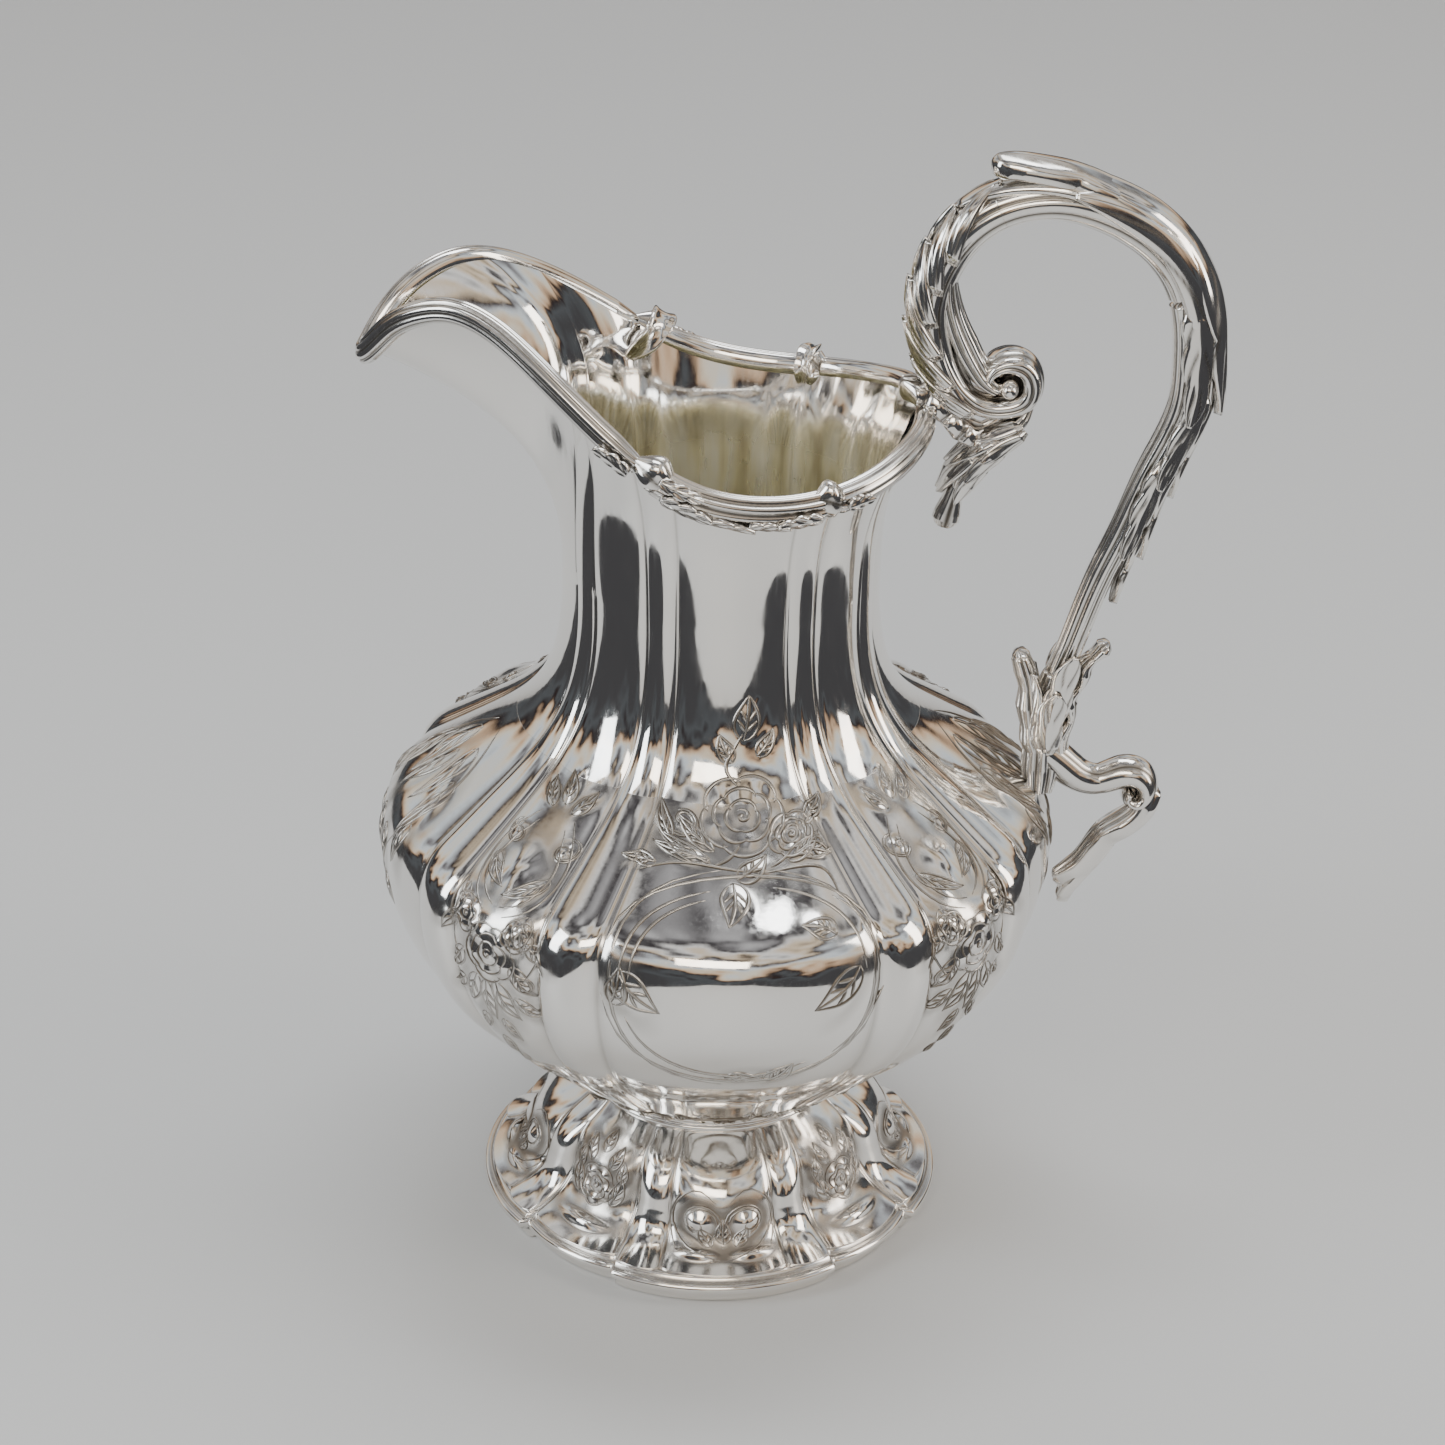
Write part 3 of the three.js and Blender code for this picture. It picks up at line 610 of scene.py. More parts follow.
# 1 in the middle of the spout, easing to 0 at 62 degrees to each side of it
spout_share = 1 - ease(np.abs((neck_angles - SPOUT + 180) % 360 - 180), 0, 62)
outward = np.radians(70 - 48 * spout_share)
reach = 0.42 * np.hypot(lip_radius - root_radius, lip[:, 2] - root_height)
t = np.linspace(0, 1, NECK_TOP_ROWS)[1:, None]
weights = [(1 - t) ** 3, 3 * t * (1 - t) ** 2, 3 * t * t * (1 - t), t**3]
radii = [root_radius, root_radius, lip_radius - reach * np.cos(outward), lip_radius]
heights = [root_height, root_height + 0.5 * (lip[:, 2] - root_height),
           lip[:, 2] - reach * np.sin(outward), lip[:, 2]]
top_radius = sum(w * r for w, r in zip(weights, radii))
top_height = sum(w * h for w, h in zip(weights, heights))
neck_radius = np.concatenate([root_rows[:, :1] + 0 * top_radius[:1], top_radius])
neck_height = np.concatenate([root_rows[:, 1:] + 0 * top_height[:1], top_height])
crease_fade = 1 - spout_share[None] * ease(neck_height, 165, 196)
neck_crease = body_crease(neck_height) * crease_fade
neck_wall = turned(neck_angles[None], neck_radius - neck_crease * (1 - body_swell)[None], neck_height)
neck_wall[:NECK_ROOT_ROWS] = body.grid[root_index]
smooth_share = ease(neck_height, 190, 206) * (1 - spout_share[None])
plain_wall = turned(
    neck_angles[None], neck_radius - neck_crease * (1 - body_swell * (1 - smooth_share)), neck_height)
neck_inside = (plain_wall - SHEET * normals(plain_wall))[::-2]
neck_edge = 0.97 * neck_wall[:1] + 0.03 * neck_wall[1:2]
neck_rings = np.concatenate([neck_wall[:1], neck_edge, neck_wall[1:], neck_inside])
inside_gilt = 1 - ease(neck_inside[..., 2], 188, 206)
# painted shade, mixed with oxide, in the creases of the wall, and painted shade in the creases of the gilt
# inside
neck_shade = 0.35 * (1 - body_swell)[None] ** 6 * crease_fade
neck_dark = np.concatenate([neck_shade[:1], neck_shade, 0.6 * (1 - body_swell)[None] ** 8 * inside_gilt])
neck = make_solid("neck_raised", neck_rings, neck_dark,
                  np.concatenate([0 * neck_shade[:1], 0 * neck_shade, inside_gilt]), looped=True)
finish_piece(neck, raised_silver, "neck_and_spout")

# ------------------------------------------------------------------ rim
# Cast mouldings soldered along the mouth: a plain roll with a fine reed below it round the
# spout, leafy lengths between the knuckles, and three plain reeds running to the handle.

# the last colour is the painted shade, mixed with oxide, of the grooves and undersides
cast_silver = silver("cast_silver", (0.88, 0.86, 0.83), 0.07, (0.13, 0.11, 0.085), wave=0.22)


def cast(piece, *nodes):
    """A casting, finished in cast silver, and the nodes it stands for."""
    finish_piece(piece, cast_silver, *nodes)


rim_angles = np.linspace(SPOUT, SPOUT + 360, 1441)
rim_path = rim_at(rim_angles)
rim_run = np.gradient(rim_path, axis=0)
rim_run /= np.linalg.norm(rim_run, axis=1, keepdims=True)
rim_out = np.cross(rim_run, [0, 0, 1.0])
rim_out /= np.linalg.norm(rim_out, axis=1, keepdims=True)
rim_out *= np.sign((rim_out * turned(rim_angles, 1, 0)).sum(1, keepdims=True))
rim_up = np.cross(rim_out, rim_run)
rim_up *= np.sign(rim_up[:, 2:])


def along_rim(angle, out, up):
    """Points beside the rim line: out is the distance away from the mouth and up the distance
    above the line, both square to it."""
    a = (np.asarray(angle, float) - SPOUT) % 360 + SPOUT
    a = np.broadcast_to(a, np.broadcast(a, out, up).shape)
    def read(table):
        return np.stack([np.interp(a, rim_angles, table[:, c]) for c in range(3)], -1)
    return read(rim_path) + out[..., None] * read(rim_out) + up[..., None] * read(rim_up)


def rim_length(name, start, end, steps, reeds, half_wide, half_tall, groove):
    """Oval section swept along the rim line, narrowing to 0.55 of its size at the ends. Its outer
    half is cut into reeds by 1 - groove + groove |sin| of a multiple of the angle."""
    share = np.linspace(0, 1, steps)[:, None]
    a = np.linspace(0, 2 * np.pi, 40, endpoint=False)
    outer = np.sin(a)
    ridge = np.where(outer > -0.2, np.abs(np.sin(a * reeds)) ** 0.6, 1)
    size = (1 - groove + groove * ridge) * (
        0.55 + 0.45 * np.clip(np.minimum(share, 1 - share) * 16, 0, 1) ** 0.5)
    rings = along_rim(start + (end - start) * share, half_wide * outer * size,
                      -half_tall * np.cos(a) * size - 0.2 * half_tall)
    # painted shade, mixed with oxide, in the grooves between the reeds
    return make_solid(name, rings, 0.9 * (1 - ridge) * (outer > -0.01))


cast(rim_length("spout_roll", -154, -26, 400, 4, 2.5, 3.1, 0.2), "spout_border")
SIDES = (("front", lambda a: a), ("back", lambda a: 180 - a))
for kind, start, end, steps, reeds, half_wide, half_tall in (
        ("leafed", -24, 31.5, 320, 4, 2.8, 3.7), ("reeded", 31.5, 83, 230, 6, 2.7, 3.5)):
    for side_name, turn_of in SIDES:
        cast(rim_length(f"{kind}_rim_cast_{side_name}", turn_of(start), turn_of(end), steps, reeds,
                        half_wide, half_tall, 0.3), f"{kind}_rim_{side_name}")


def leaf_grid(steps, across):
    """Shares along and across a leaf for its upper face and, returning, its lower face."""
    v = np.linspace(-1, 1, across)
    return (np.linspace(0, 1, steps)[:, None], np.concatenate([v, v[::-1]])[None],
            np.repeat([1.0, 0.0], across)[None])


def rim_leaves(name, items):
    """Leaves laid along the moulding. Each item holds start and end degrees, middle angle round
    the moulding (0 outwards, 90 up), half angle and lift of the tip. The height over it is 0.2 +
    lift t^3, a midrib and slanting veins."""
    t, v, upper = leaf_grid(60, 21)
    body = np.sin(np.pi * (0.1 + 0.88 * t) ** 0.8) ** 0.6
    lobe = np.abs(np.sin(3 * np.pi * t)) ** 0.6
    half = np.clip(body, 0.02, 1) * (1 - 0.4 * v**2 * (1 - lobe))
    vein = np.abs(np.sin(np.pi * (3 * t - 1.2 * np.abs(v))))
    rings = []
    for start, end, middle, reach, lift in items:
        around = np.radians(middle + reach * half * v)
        high = 0.2 + lift * t**3 + 0.4 * vein**0.8 * np.abs(v) ** 0.5 + 0.3 * np.exp(-(v / 0.2) ** 2)
        high = high + upper * 0.8 * np.sqrt(1 - 0.97 * v**6) - 0.4 * (1 - upper)
        rings.append(along_rim(start + (end - start) * t,
                               (2.6 + high) * np.cos(around), (3.3 + high) * np.sin(around) - 0.7))
    # painted shade in the veins and on the leaf's lower face
    dark = np.clip((1 - vein) ** 3 * (np.abs(v) > 0.1) + 0.5 * (1 - upper), 0, 1)
    return make_solid(name, np.stack(rings), dark)


rim_sprays = []
for side_name, turn_of in SIDES:
    rim_sprays += [
        (turn_of(-18), turn_of(-4), -34, 34, 0.9), (turn_of(-20), turn_of(-8), 24, 30, 0.6),
        (turn_of(-10), turn_of(8), -52, 26, 1.0), (turn_of(6), turn_of(18), -44, 24, 0.7),
        (turn_of(27), turn_of(14), -30, 32, 0.8), (turn_of(35), turn_of(43), -10, 30, 0.6),
        (turn_of(-27), turn_of(-36), -20, 34, 0.8)]
cast(rim_leaves("rim_leaf_sprays", rim_sprays))


def knuckle(name, centre, spread, size, lobes, curl):
    """Leaf wrapped over the moulding: rings square to the rim line, the leaf's width a bell
    curve along it with slanting ribs, its inner side carried down by curl mm."""
    share = np.linspace(-1, 1, 80)[:, None]
    a = np.linspace(0, 2 * np.pi, 64, endpoint=False)[None]
    bell = np.clip(1 - share**2, 0, 1) ** 0.5 * (0.62 + 0.38 * np.cos(np.pi * share / 2) ** 2)
    rib = np.abs(np.sin(lobes * a / 2 + 1.1 * share)) ** 0.8
    cut = 0.92 + 0.13 * rib
    inward = np.clip(-np.cos(a), 0, 1) ** 1.5 * bell
    out = size * 0.8 * np.cos(a) * bell * cut - 0.22 * curl * inward
    up = size * np.sin(a) * bell * cut - 0.3 + 0.8 * bell - curl * inward
    rings = along_rim(centre + spread * share, out, up)
    # painted shade between the ribs
    return make_solid(name, rings, np.clip((1 - rib) ** 2, 0, 1))


for name, centre, spread, lobes, curl, node in (
        ("spout_knuckle_front", -22, 6.6, 5, 1.2, "spout_leaf_front"),
        ("spout_knuckle_back", 202, 6.6, 5, 2.0, "spout_leaf_back"),
        ("mouth_knuckle_front", 31, 5.8, 3, 1.2, "mouth_leaf_front"),
        ("mouth_knuckle_back", 149, 5.8, 3, 2.0, "mouth_leaf_back")):
    cast(knuckle(name, centre, spread, 4.5, lobes, curl), node)


def draped_leaf(name, centre, slant, path, half):
    """Leaf hung square over the moulding along a path of (out, up) points, leaning by slant
    degrees. Half width in degrees times sin(pi t)^0.6, scalloped by |sin|, with three ribs."""
    t, v, upper = leaf_grid(90, 25)
    line = spline(path, 90)
    run = np.gradient(line, axis=0)
    run /= np.linalg.norm(run, axis=1, keepdims=True)
    lobe = np.abs(np.sin(2 * np.pi * t)) ** 0.7
    wide = half * np.sin(np.pi * (0.25 + 0.72 * t)) ** 0.6 * (1 - 0.22 * v**2 * (1 - lobe))
    rib = 0.5 + 0.5 * np.cos(3 * np.pi * v)
    edge = np.sqrt(np.clip(1 - (0.98 * v) ** 6, 0, 1)) * np.clip((1 - t) * 12 + 0.3, 0, 1)
    skin = 2.2 * (upper - 0.5) * edge + 0.3 * rib * upper - 0.9 * v**2
    rings = along_rim(centre + slant * t + wide * v,
                      line[:, :1] - run[:, 1:] * skin, line[:, 1:] + run[:, :1] * skin)
    # painted shade between the ribs of the upper face
    dark = np.clip((1 - rib) ** 3 * upper * (np.abs(v) < 0.8), 0, 1)
    return make_solid(name, rings, dark)


long_drape = [(1.4, 4.0), (-1.6, 4.6), (-4.4, 3.4), (-6.2, 0.4), (-6.6, -3.6), (-5.4, -7.6)]
short_drape = [(1.4, 4.0), (-1.6, 4.4), (-4.0, 2.8), (-4.8, 0), (-4.2, -2.4)]
for name, centre, slant, path, half in (
        ("spout_drape_back", 200.5, 6, long_drape, 4.2),
        ("mouth_drape_back", 149, 2, short_drape, 3.4)):
    cast(draped_leaf(name, centre, slant, path, half))

# ------------------------------------------------------------------ handle
# Cast in two halves and soldered: a reeded riser, an arch under a long thumb leaf and a
# tapering shaft, sheathed in overlapping acanthus leaves and ending in a leafy calyx.


class Track:
    """Line in the plane y = 0 with the half thickness and half width of the bar round it."""

    def __init__(self, points, sizes, steps):
        line = spline(points, steps)
        self.share = np.linspace(0, 1, steps)
        self.x, self.z = line.T
        run = np.gradient(line, axis=0)
        run /= np.linalg.norm(run, axis=1, keepdims=True)
        self.nx, self.nz = -run[:, 1], run[:, 0]
        at, thick, wide = np.asarray(sizes, float).T
        self.thick = np.interp(self.share, at, thick)
        self.wide = np.interp(self.share, at, wide)

    def at(self, share, angle, lift, reeds=0.0):
        """Point on the bar's skin: angle 0 is the left-hand side of the line seen from the
        front and 90 is the back, raised by lift."""
        def read(table):
            return np.interp(share, self.share, table)
        a = np.radians(angle)
        k = 1 - reeds
        up = read(self.thick) * np.cos(a) * k + lift * np.cos(a)
        y = read(self.wide) * np.sin(a) * k + lift * np.sin(a)
        return np.stack([read(self.x) + up * read(self.nx), y, read(self.z) + up * read(self.nz)], -1)


HANDLE_LINE = [
    (57.4, 217.2), (52, 224.6), (48.4, 233), (47, 243), (49, 252), (53.6, 260), (60.6, 266),
    (69, 268.9), (78, 269), (87, 266.4), (95.4, 261.8), (102, 255.4), (106.2, 248), (108.2, 240),
    (108.7, 230), (107.9, 219), (105, 210.6), (101.2, 202), (95.9, 187.3), (91, 175), (87.4, 164),
    (84.4, 154), (81.8, 146.4)]
HANDLE_SIZES = [
    (0, 4.0, 5.0), (0.08, 4.6, 5.0), (0.2, 5.0, 5.2), (0.3, 5.0, 5.3), (0.42, 5.6, 5.4),
    (0.55, 5.2, 5.0), (0.7, 4.0, 4.3), (0.85, 3.6, 3.9), (1, 3.3, 3.6)]
handle_track = Track(HANDLE_LINE, HANDLE_SIZES, 700)


def bar(name, track, start, end, steps, reeds, depth):
    """Length of the bar: an oval section cut by reeds, 1 - depth (1 - |cos|), with rounded ends
    from a square-root taper over the last hundredth."""
    share = np.linspace(start, end, steps)[:, None]
    a = np.linspace(0, 360, 64, endpoint=False)[None]
    ridge = np.abs(np.cos(np.radians(a * reeds / 2)))
    local = (share - start) / (end - start)
    ends = np.sqrt(np.clip(np.minimum(local, 1 - local) * steps / 4, 0.02, 1))
    cut = 1 - (1 - depth * (1 - ridge**0.7)) * ends
    rings = track.at(share, a, 0, cut)
    # painted shade, mixed with oxide, in the grooves between the reeds
    return make_solid(name, rings, np.clip((1 - ridge) ** 3 * 1.1, 0, 1))


cast(bar("handle_riser_cast", handle_track, 0.0, 0.285, 260, 8, 0.09), "handle_riser")
cast(bar("handle_arch_cast", handle_track, 0.262, 0.52, 300, 8, 0.08), "handle_arch")
cast(bar("handle_shaft_cast", handle_track, 0.52, 1.0, 360, 8, 0.15), "handle_shaft")


def hugging_leaf(name, track, items, thickness, lobes, cut, relief, lean=0.0):
    """Leaves lying on a bar. Each item holds start and end share, middle angle, half angle and how
    far the tip lifts. Half width: sin of a power of t, with lobes cut into it by |sin| that deepen
    towards the edge. Height: thickness + lift t^3 + ridge at the midrib - fall to the veins. lean
    is the share of the middle angle by which the tip comes round to the outer side."""
    t, v, upper = leaf_grid(64, 25)
    scallop = np.abs(np.sin(np.pi * lobes * t)) ** 0.6
    width = np.clip(np.sin(np.pi * (0.12 + 0.86 * t) ** 0.75) ** 0.6, 0.02, None)
    width = width * (1 - cut * v**2 * (1 - scallop))
    vein = np.abs(np.sin(np.pi * (lobes * t - 1.3 * np.abs(v))))
    skin = 0.3 + relief * (0.4 * np.exp(-(v / 0.14) ** 2) + 0.6 * vein**0.8 * np.abs(v) ** 0.5)
    skin = skin + thickness * upper * np.sqrt(np.clip(1 - (0.96 * v) ** 6, 0, 1)) * np.clip(8 * t, 0.1, 1)
    skin = skin - 0.4 * (1 - upper)
    rings = [
        track.at(start + (end - start) * t, middle * (1 - lean * t) + half * width * v, skin + lift * t**3)
        for start, end, middle, half, lift in items]
    # painted shade in the veins and on the leaf's lower face
    dark = np.clip((1 - vein) ** 3 * 0.9 * (np.abs(v) > 0.1) + 0.5 * (1 - upper), 0, 1)
    return make_solid(name, np.stack(rings), dark)


# start and end share, middle angle, half angle and lift of each leaf of the sheath
riser_lobes = [(s, s + 0.08, side * 92, 23, 0.0) for s in np.arange(0.0, 0.22, 0.038) for side in (-1, 1)]
cast(hugging_leaf("riser_lobes", handle_track, riser_lobes, 1.6, lobes=1, cut=0.1, relief=0.3, lean=0.85))
cast(hugging_leaf("arch_sheath", handle_track, [(0.6, 0.235, 0, 92, 0.0)], 1.5, lobes=1, cut=0, relief=0.0))
arch_leaves = [(0.56, 0.33, 0, 84, 1.0)] + [(0.58, 0.34, side * 62, 50, 0.3) for side in (-1, 1)]
cast(hugging_leaf("arch_leaves", handle_track, arch_leaves, 1.6, lobes=2, cut=0.12, relief=0.25))
shaft_leaves = [
    (0.40, 0.645, -18, 62, 2.6), (0.44, 0.60, 40, 50, 1.8), (0.58, 0.755, 6, 56, 2.2),
    (0.67, 0.83, -6, 54, 2.0), (0.75, 0.895, 4, 50, 1.4)]
shaft_leaves += [
    (start, end, side * middle, half, lift) for side in (-1, 1) for start, end, middle, half, lift in (
        (0.52, 0.66, 82, 44, 0.9), (0.62, 0.74, 70, 40, 1.0), (0.71, 0.83, 78, 36, 0.9))]
cast(hugging_leaf("shaft_leaves", handle_track, shaft_leaves, 1.5, lobes=3, cut=0.3, relief=0.6))


def free_leaf(name, points, sizes, thickness, lobes, cut, camber, ribs=3, curl=0.0, relief=1.0, veins=1.0):
    """Leaf on a line in the plane y = 0. sizes gives share and half width. Height above the
    line: camber (1 - v^2) + ribs as cos of v + edges turned up by curl at the lobes."""
    line = Track(points, [(0, 0, 0), (1, 0, 0)], 300)
    t, v, upper = leaf_grid(110, 33)
    at, width = np.asarray(sizes, float).T
    scallop = np.abs(np.sin(np.pi * lobes * t)) ** 0.6
    half = np.interp(t, at, width) * (1 - cut * np.abs(v) ** 2 * (1 - scallop))
    ridge = 0.5 + 0.5 * np.cos(np.pi * ribs * v)
    slant = np.abs(np.sin(np.pi * (lobes * t - 0.9 * np.abs(v))))
    lift = camber * (1 - v**2) + curl * np.abs(v) ** 3 * scallop
    lift = lift + relief * ((0.35 + 0.3 * (veins < 1)) * ridge + 0.4 * veins * slant * np.abs(v))
    rounding = np.sqrt(np.clip(1 - (0.985 * v) ** 8, 0, 1) * np.clip(np.minimum(t, 1 - t) * 30 + 0.03, 0, 1))
    lift = lift + thickness * (upper - 0.5) * rounding

    def read(table):
        return np.interp(t, line.share, table)
    rings = np.stack(np.broadcast_arrays(
        read(line.x) + lift * read(line.nx), half * v, read(line.z) + lift * read(line.nz)), -1)
    # painted shade between the ribs and in the slanting veins
    dark = relief * np.clip(0.9 * (1 - ridge) ** 2 * (np.abs(v) < 0.8) + 0.7 * veins * (1 - slant) ** 3, 0, 1)
    return make_solid(name, rings, dark)


# free_leaf raises its face to the left of the line, so each line runs with its outer face left
cast(free_leaf(
    "thumb_leaf_cast", [(59.6, 275.6), (64, 276.2), (70, 275.6), (77, 274.2), (84, 271.6), (91, 267.8),
                        (97.5, 262.4), (103, 255.6), (106.4, 247.6)],
    [(0, 1.4), (0.02, 3.0), (0.06, 4.4), (0.12, 5.2), (0.2, 5.4), (0.4, 5.9), (0.75, 5.6), (1, 3.6)],
    4.2, 3, 0.12, 2.0, ribs=2, relief=0.35), "thumb_leaf")


def strap(name, points, sizes, reeds, depth, steps=260):
    """Reeded bar along its own line, for the volute and the bundles of reeds beside it."""
    return bar(name, Track(points, sizes, steps), 0.0, 1.0, steps, reeds, depth)


cast(strap(
    "handle_volute_cast", [(48.6, 238), (50.4, 230), (54, 223.2), (59.4, 218.8), (65.4, 218.2), (70.2, 220.4),
                           (71.3, 224.6), (69.4, 228.4), (65.6, 229.6), (62, 228), (60.6, 225)],
    [(0, 1.6, 4.4), (0.2, 2.6, 5.0), (0.5, 3.1, 5.4), (0.65, 3.2, 5.6), (0.82, 3.3, 5.8), (0.93, 2.2, 6.0),
     (1, 0.8, 6.0)], 6, 0.12), "handle_volute")
cast(strap(
    "volute_reeds",
    [(51, 254), (51.2, 246), (53, 239), (55.6, 233), (58.4, 228), (61.2, 224.4), (63.8, 222.6)],
    [(0, 1.6, 4.0), (0.25, 2.7, 4.6), (0.6, 3.4, 5.0), (0.85, 3.0, 5.0), (1, 1.8, 4.6)], 8, 0.2))

# the volute's eye: a drum with domed ends, its radius 2.8 sin^0.7 of the angle from end to end
EYE_X, EYE_Z, EYE_RADIUS, EYE_HALF = 65.8, 224, 2.8, 7.4
turn = np.linspace(0, 2 * np.pi, 48, endpoint=False)[None]
rise = np.linspace(0.03, np.pi - 0.03, 90)[:, None]
eye_radius = EYE_RADIUS * np.sin(rise) ** 0.7
eye_rings = np.stack(np.broadcast_arrays(
    EYE_X + eye_radius * np.cos(turn), -EYE_HALF * np.cos(rise), EYE_Z + eye_radius * np.sin(turn)), -1)
cast(make_solid("volute_eye", eye_rings, 0))
cast(free_leaf(
    "rim_socket_cast", [(40.6, 221.4), (44.5, 221.2), (48.6, 219), (52.6, 214.6), (57, 210.6), (61, 209.6)],
    [(0, 2.0), (0.15, 5.4), (0.5, 6.2), (0.8, 5.4), (1, 3.2)], 4.6, 4, 0.3, 0.8), "rim_socket")

# the leaf that hangs from the volute, ending in a spoon-shaped tip
cast(strap(
    "hanging_leaf_cast",
    [(71.6, 219.4), (69.8, 215.4), (66, 211.8), (61.6, 207.6), (57.6, 202.4), (55.2, 197)],
    [(0, 1.0, 3.0), (0.14, 2.0, 4.2), (0.42, 3.6, 5.0), (0.7, 4.0, 5.2), (0.9, 3.2, 4.4), (1, 1.8, 3.0)],
    6, 0.16), "hanging_leaf")
cast(strap(
    "hanging_spoon_cast", [(57.4, 202), (55, 196.6), (53.6, 191.6), (52.4, 186.6)],
    [(0, 2.8, 3.2), (0.3, 2.3, 2.8), (0.55, 2.6, 3.0), (0.76, 3.3, 3.2), (0.86, 3.4, 3.2), (0.94, 2.7, 2.8),
     (0.98, 1.8, 2.2), (1, 0.8, 1.4)], 2, 0.26, 160))
hanging_track = Track([(70, 213.6), (65.4, 210.4), (60.6, 206), (56.8, 200.6), (54.6, 195)],
                      [(0, 2.4, 4.4), (0.4, 3.9, 5.2), (0.8, 3.6, 4.8), (1, 2.6, 3.8)], 200)
tips = [(s, s + 0.5, side * a, 30, 0.8) for s in (0.0, 0.25, 0.5) for side in (-1, 1) for a in (70, 122)]
cast(hugging_leaf("hanging_leaf_tips", hanging_track, tips, 1.1, lobes=1, cut=0.1, relief=0.3, lean=-0.35))

# the calyx at the lower end, with a leaf curling out on each side and others wrapped round it
calyx_track = Track([(82.2, 148), (81, 141), (80, 134), (79.4, 127.4), (79.4, 120.4), (79, 115.6)],
                    [(0, 3.4, 4.0), (0.3, 4.9, 5.2), (0.55, 4.6, 4.9), (0.8, 5.0, 5.0), (1, 4.0, 5.8)], 200)
cast(bar("calyx_cast", calyx_track, 0, 1, 160, 8, 0.22), "calyx")
cast(strap(
    "calyx_leaf_inner_cast",
    [(78.4, 124.6), (76.6, 131), (75.6, 138), (74.8, 145), (73.4, 150.4), (72.2, 153.6)],
    [(0, 2.6, 3.6), (0.18, 3.3, 4.6), (0.32, 2.5, 4.2), (0.5, 3.3, 4.8), (0.66, 2.3, 4.2), (0.82, 2.8, 4.4),
     (0.95, 2.4, 3.8), (1, 1.4, 2.6)], 6, 0.14, 150), "calyx_leaf_inner")
cast(strap(
    "calyx_leaf_outer_cast",
    [(94.2, 155.8), (91.4, 153), (88.6, 149.6), (87.6, 145), (85.2, 141), (85.6, 136), (83.8, 131), (83.8, 126)],
    [(0, 1.2, 2.6), (0.06, 2.3, 3.8), (0.16, 1.5, 3.6), (0.3, 2.3, 4.4), (0.42, 1.5, 3.8), (0.58, 2.4, 4.6),
     (0.7, 1.6, 4.0), (0.85, 2.4, 4.6), (1, 2.4, 3.6)], 4, 0.16, 170), "calyx_leaf_outer")
wraps = [(start, end, side * middle, half, lift) for start, end, middle, half, lift in (
    (0.0, 0.62, 90, 52, 1.6), (0.05, 0.7, 30, 40, 1.8), (0.3, 0.98, 100, 46, 0.9)) for side in (1, -1)]
wrap_track = Track([(80.2, 127), (80, 133), (80.8, 140), (82.4, 148), (84.6, 155.6)],
                   [(0, 3.6, 4.2), (0.4, 4.2, 4.8), (0.7, 4.4, 4.8), (1, 4.4, 4.6)], 200)
cast(hugging_leaf("calyx_wraps", wrap_track, wraps, 1.3, lobes=2, cut=0.3, relief=0.5))

# the little scroll that springs outward, and the leaf that returns from it to the bowl
scroll_track = Track(
    [(79.6, 126.8), (84.4, 122.8), (88.8, 119.2), (93.6, 118), (98.4, 119.6), (102.4, 120), (105.2, 117.6),
     (105.4, 114.2), (103.2, 112.4), (101.2, 113.8), (101.8, 116)],
    [(0, 4.6, 4.6), (0.22, 4.5, 4.4), (0.42, 3.9, 4.0), (0.56, 4.3, 4.6), (0.68, 3.9, 5.0), (0.8, 2.6, 5.0),
     (0.9, 1.9, 5.0), (1, 1.5, 4.8)], 260)
cast(bar("lower_scroll_cast", scroll_track, 0, 1, 220, 4, 0.06), "lower_scroll")
cast(free_leaf(
    "tail_leaf_cast", [(106.4, 116), (105, 111.4), (101.2, 107), (96.8, 103.8), (93.4, 99.8), (90.4, 95),
                       (87.4, 92), (84.2, 89.4)],
    [(0, 2.6), (0.12, 4.0), (0.35, 4.8), (0.6, 4.2), (0.85, 3.4), (0.96, 2.4), (1, 1.2)],
    4.6, 2, 0.12, 0.9, curl=0.6, relief=0.8, veins=0.3), "tail_leaf")
cast(free_leaf(
    "tail_tip_cast", [(97.4, 101.4), (93.8, 96.4), (90.4, 92), (87.6, 88), (85.8, 83.4)],
    [(0, 1.6), (0.3, 3.2), (0.7, 3.4), (0.9, 2.8), (1, 1.4)], 2.6, 2, 0.15, 0.8, relief=0.8, veins=0.3))

# ------------------------------------------------------------------ foot
# Raised and chased dome with the same sixteen panels, on a drawn ring whose bead follows its
# scalloped edge above a plain skirt. A turned collar joins it to the bowl.

# the last colour is the painted shade, mixed with oxide, of the creases and underside
chased_silver = silver("chased_silver", (0.90, 0.875, 0.84), 0.06, (0.15, 0.12, 0.09), wave=0.3)
FOOT_WIDE, FOOT_RIB = 17.0, 30.0
foot_angles = panel_angles(FOOT_WIDE, FOOT_RIB, (44, 22, 40, 22))
foot_swell = swell(foot_angles, FOOT_WIDE, FOOT_RIB)
fold = np.abs((foot_angles + 45) % 90 - 45)
scallop = 1.9 * (fold < FOOT_RIB) + 1.3 * swell(foot_angles, FOOT_RIB, FOOT_RIB + 0.01, 0.5) - 0.4
dome_line = spline([
    (54.6, 8.2), (51.4, 9.7), (48, 11.9), (45.2, 14.8), (43.3, 19), (42, 24), (39, 28.4),
    (34.6, 31.6), (31.2, 34.4)], 120)
dome_crease = 2.2 - 1.7 * ease(dome_line[:, 1:], 22, 34.4)
dome_lobe = swell(foot_angles, FOOT_RIB, FOOT_RIB + 0.01, 0.7) * (fold < FOOT_RIB)
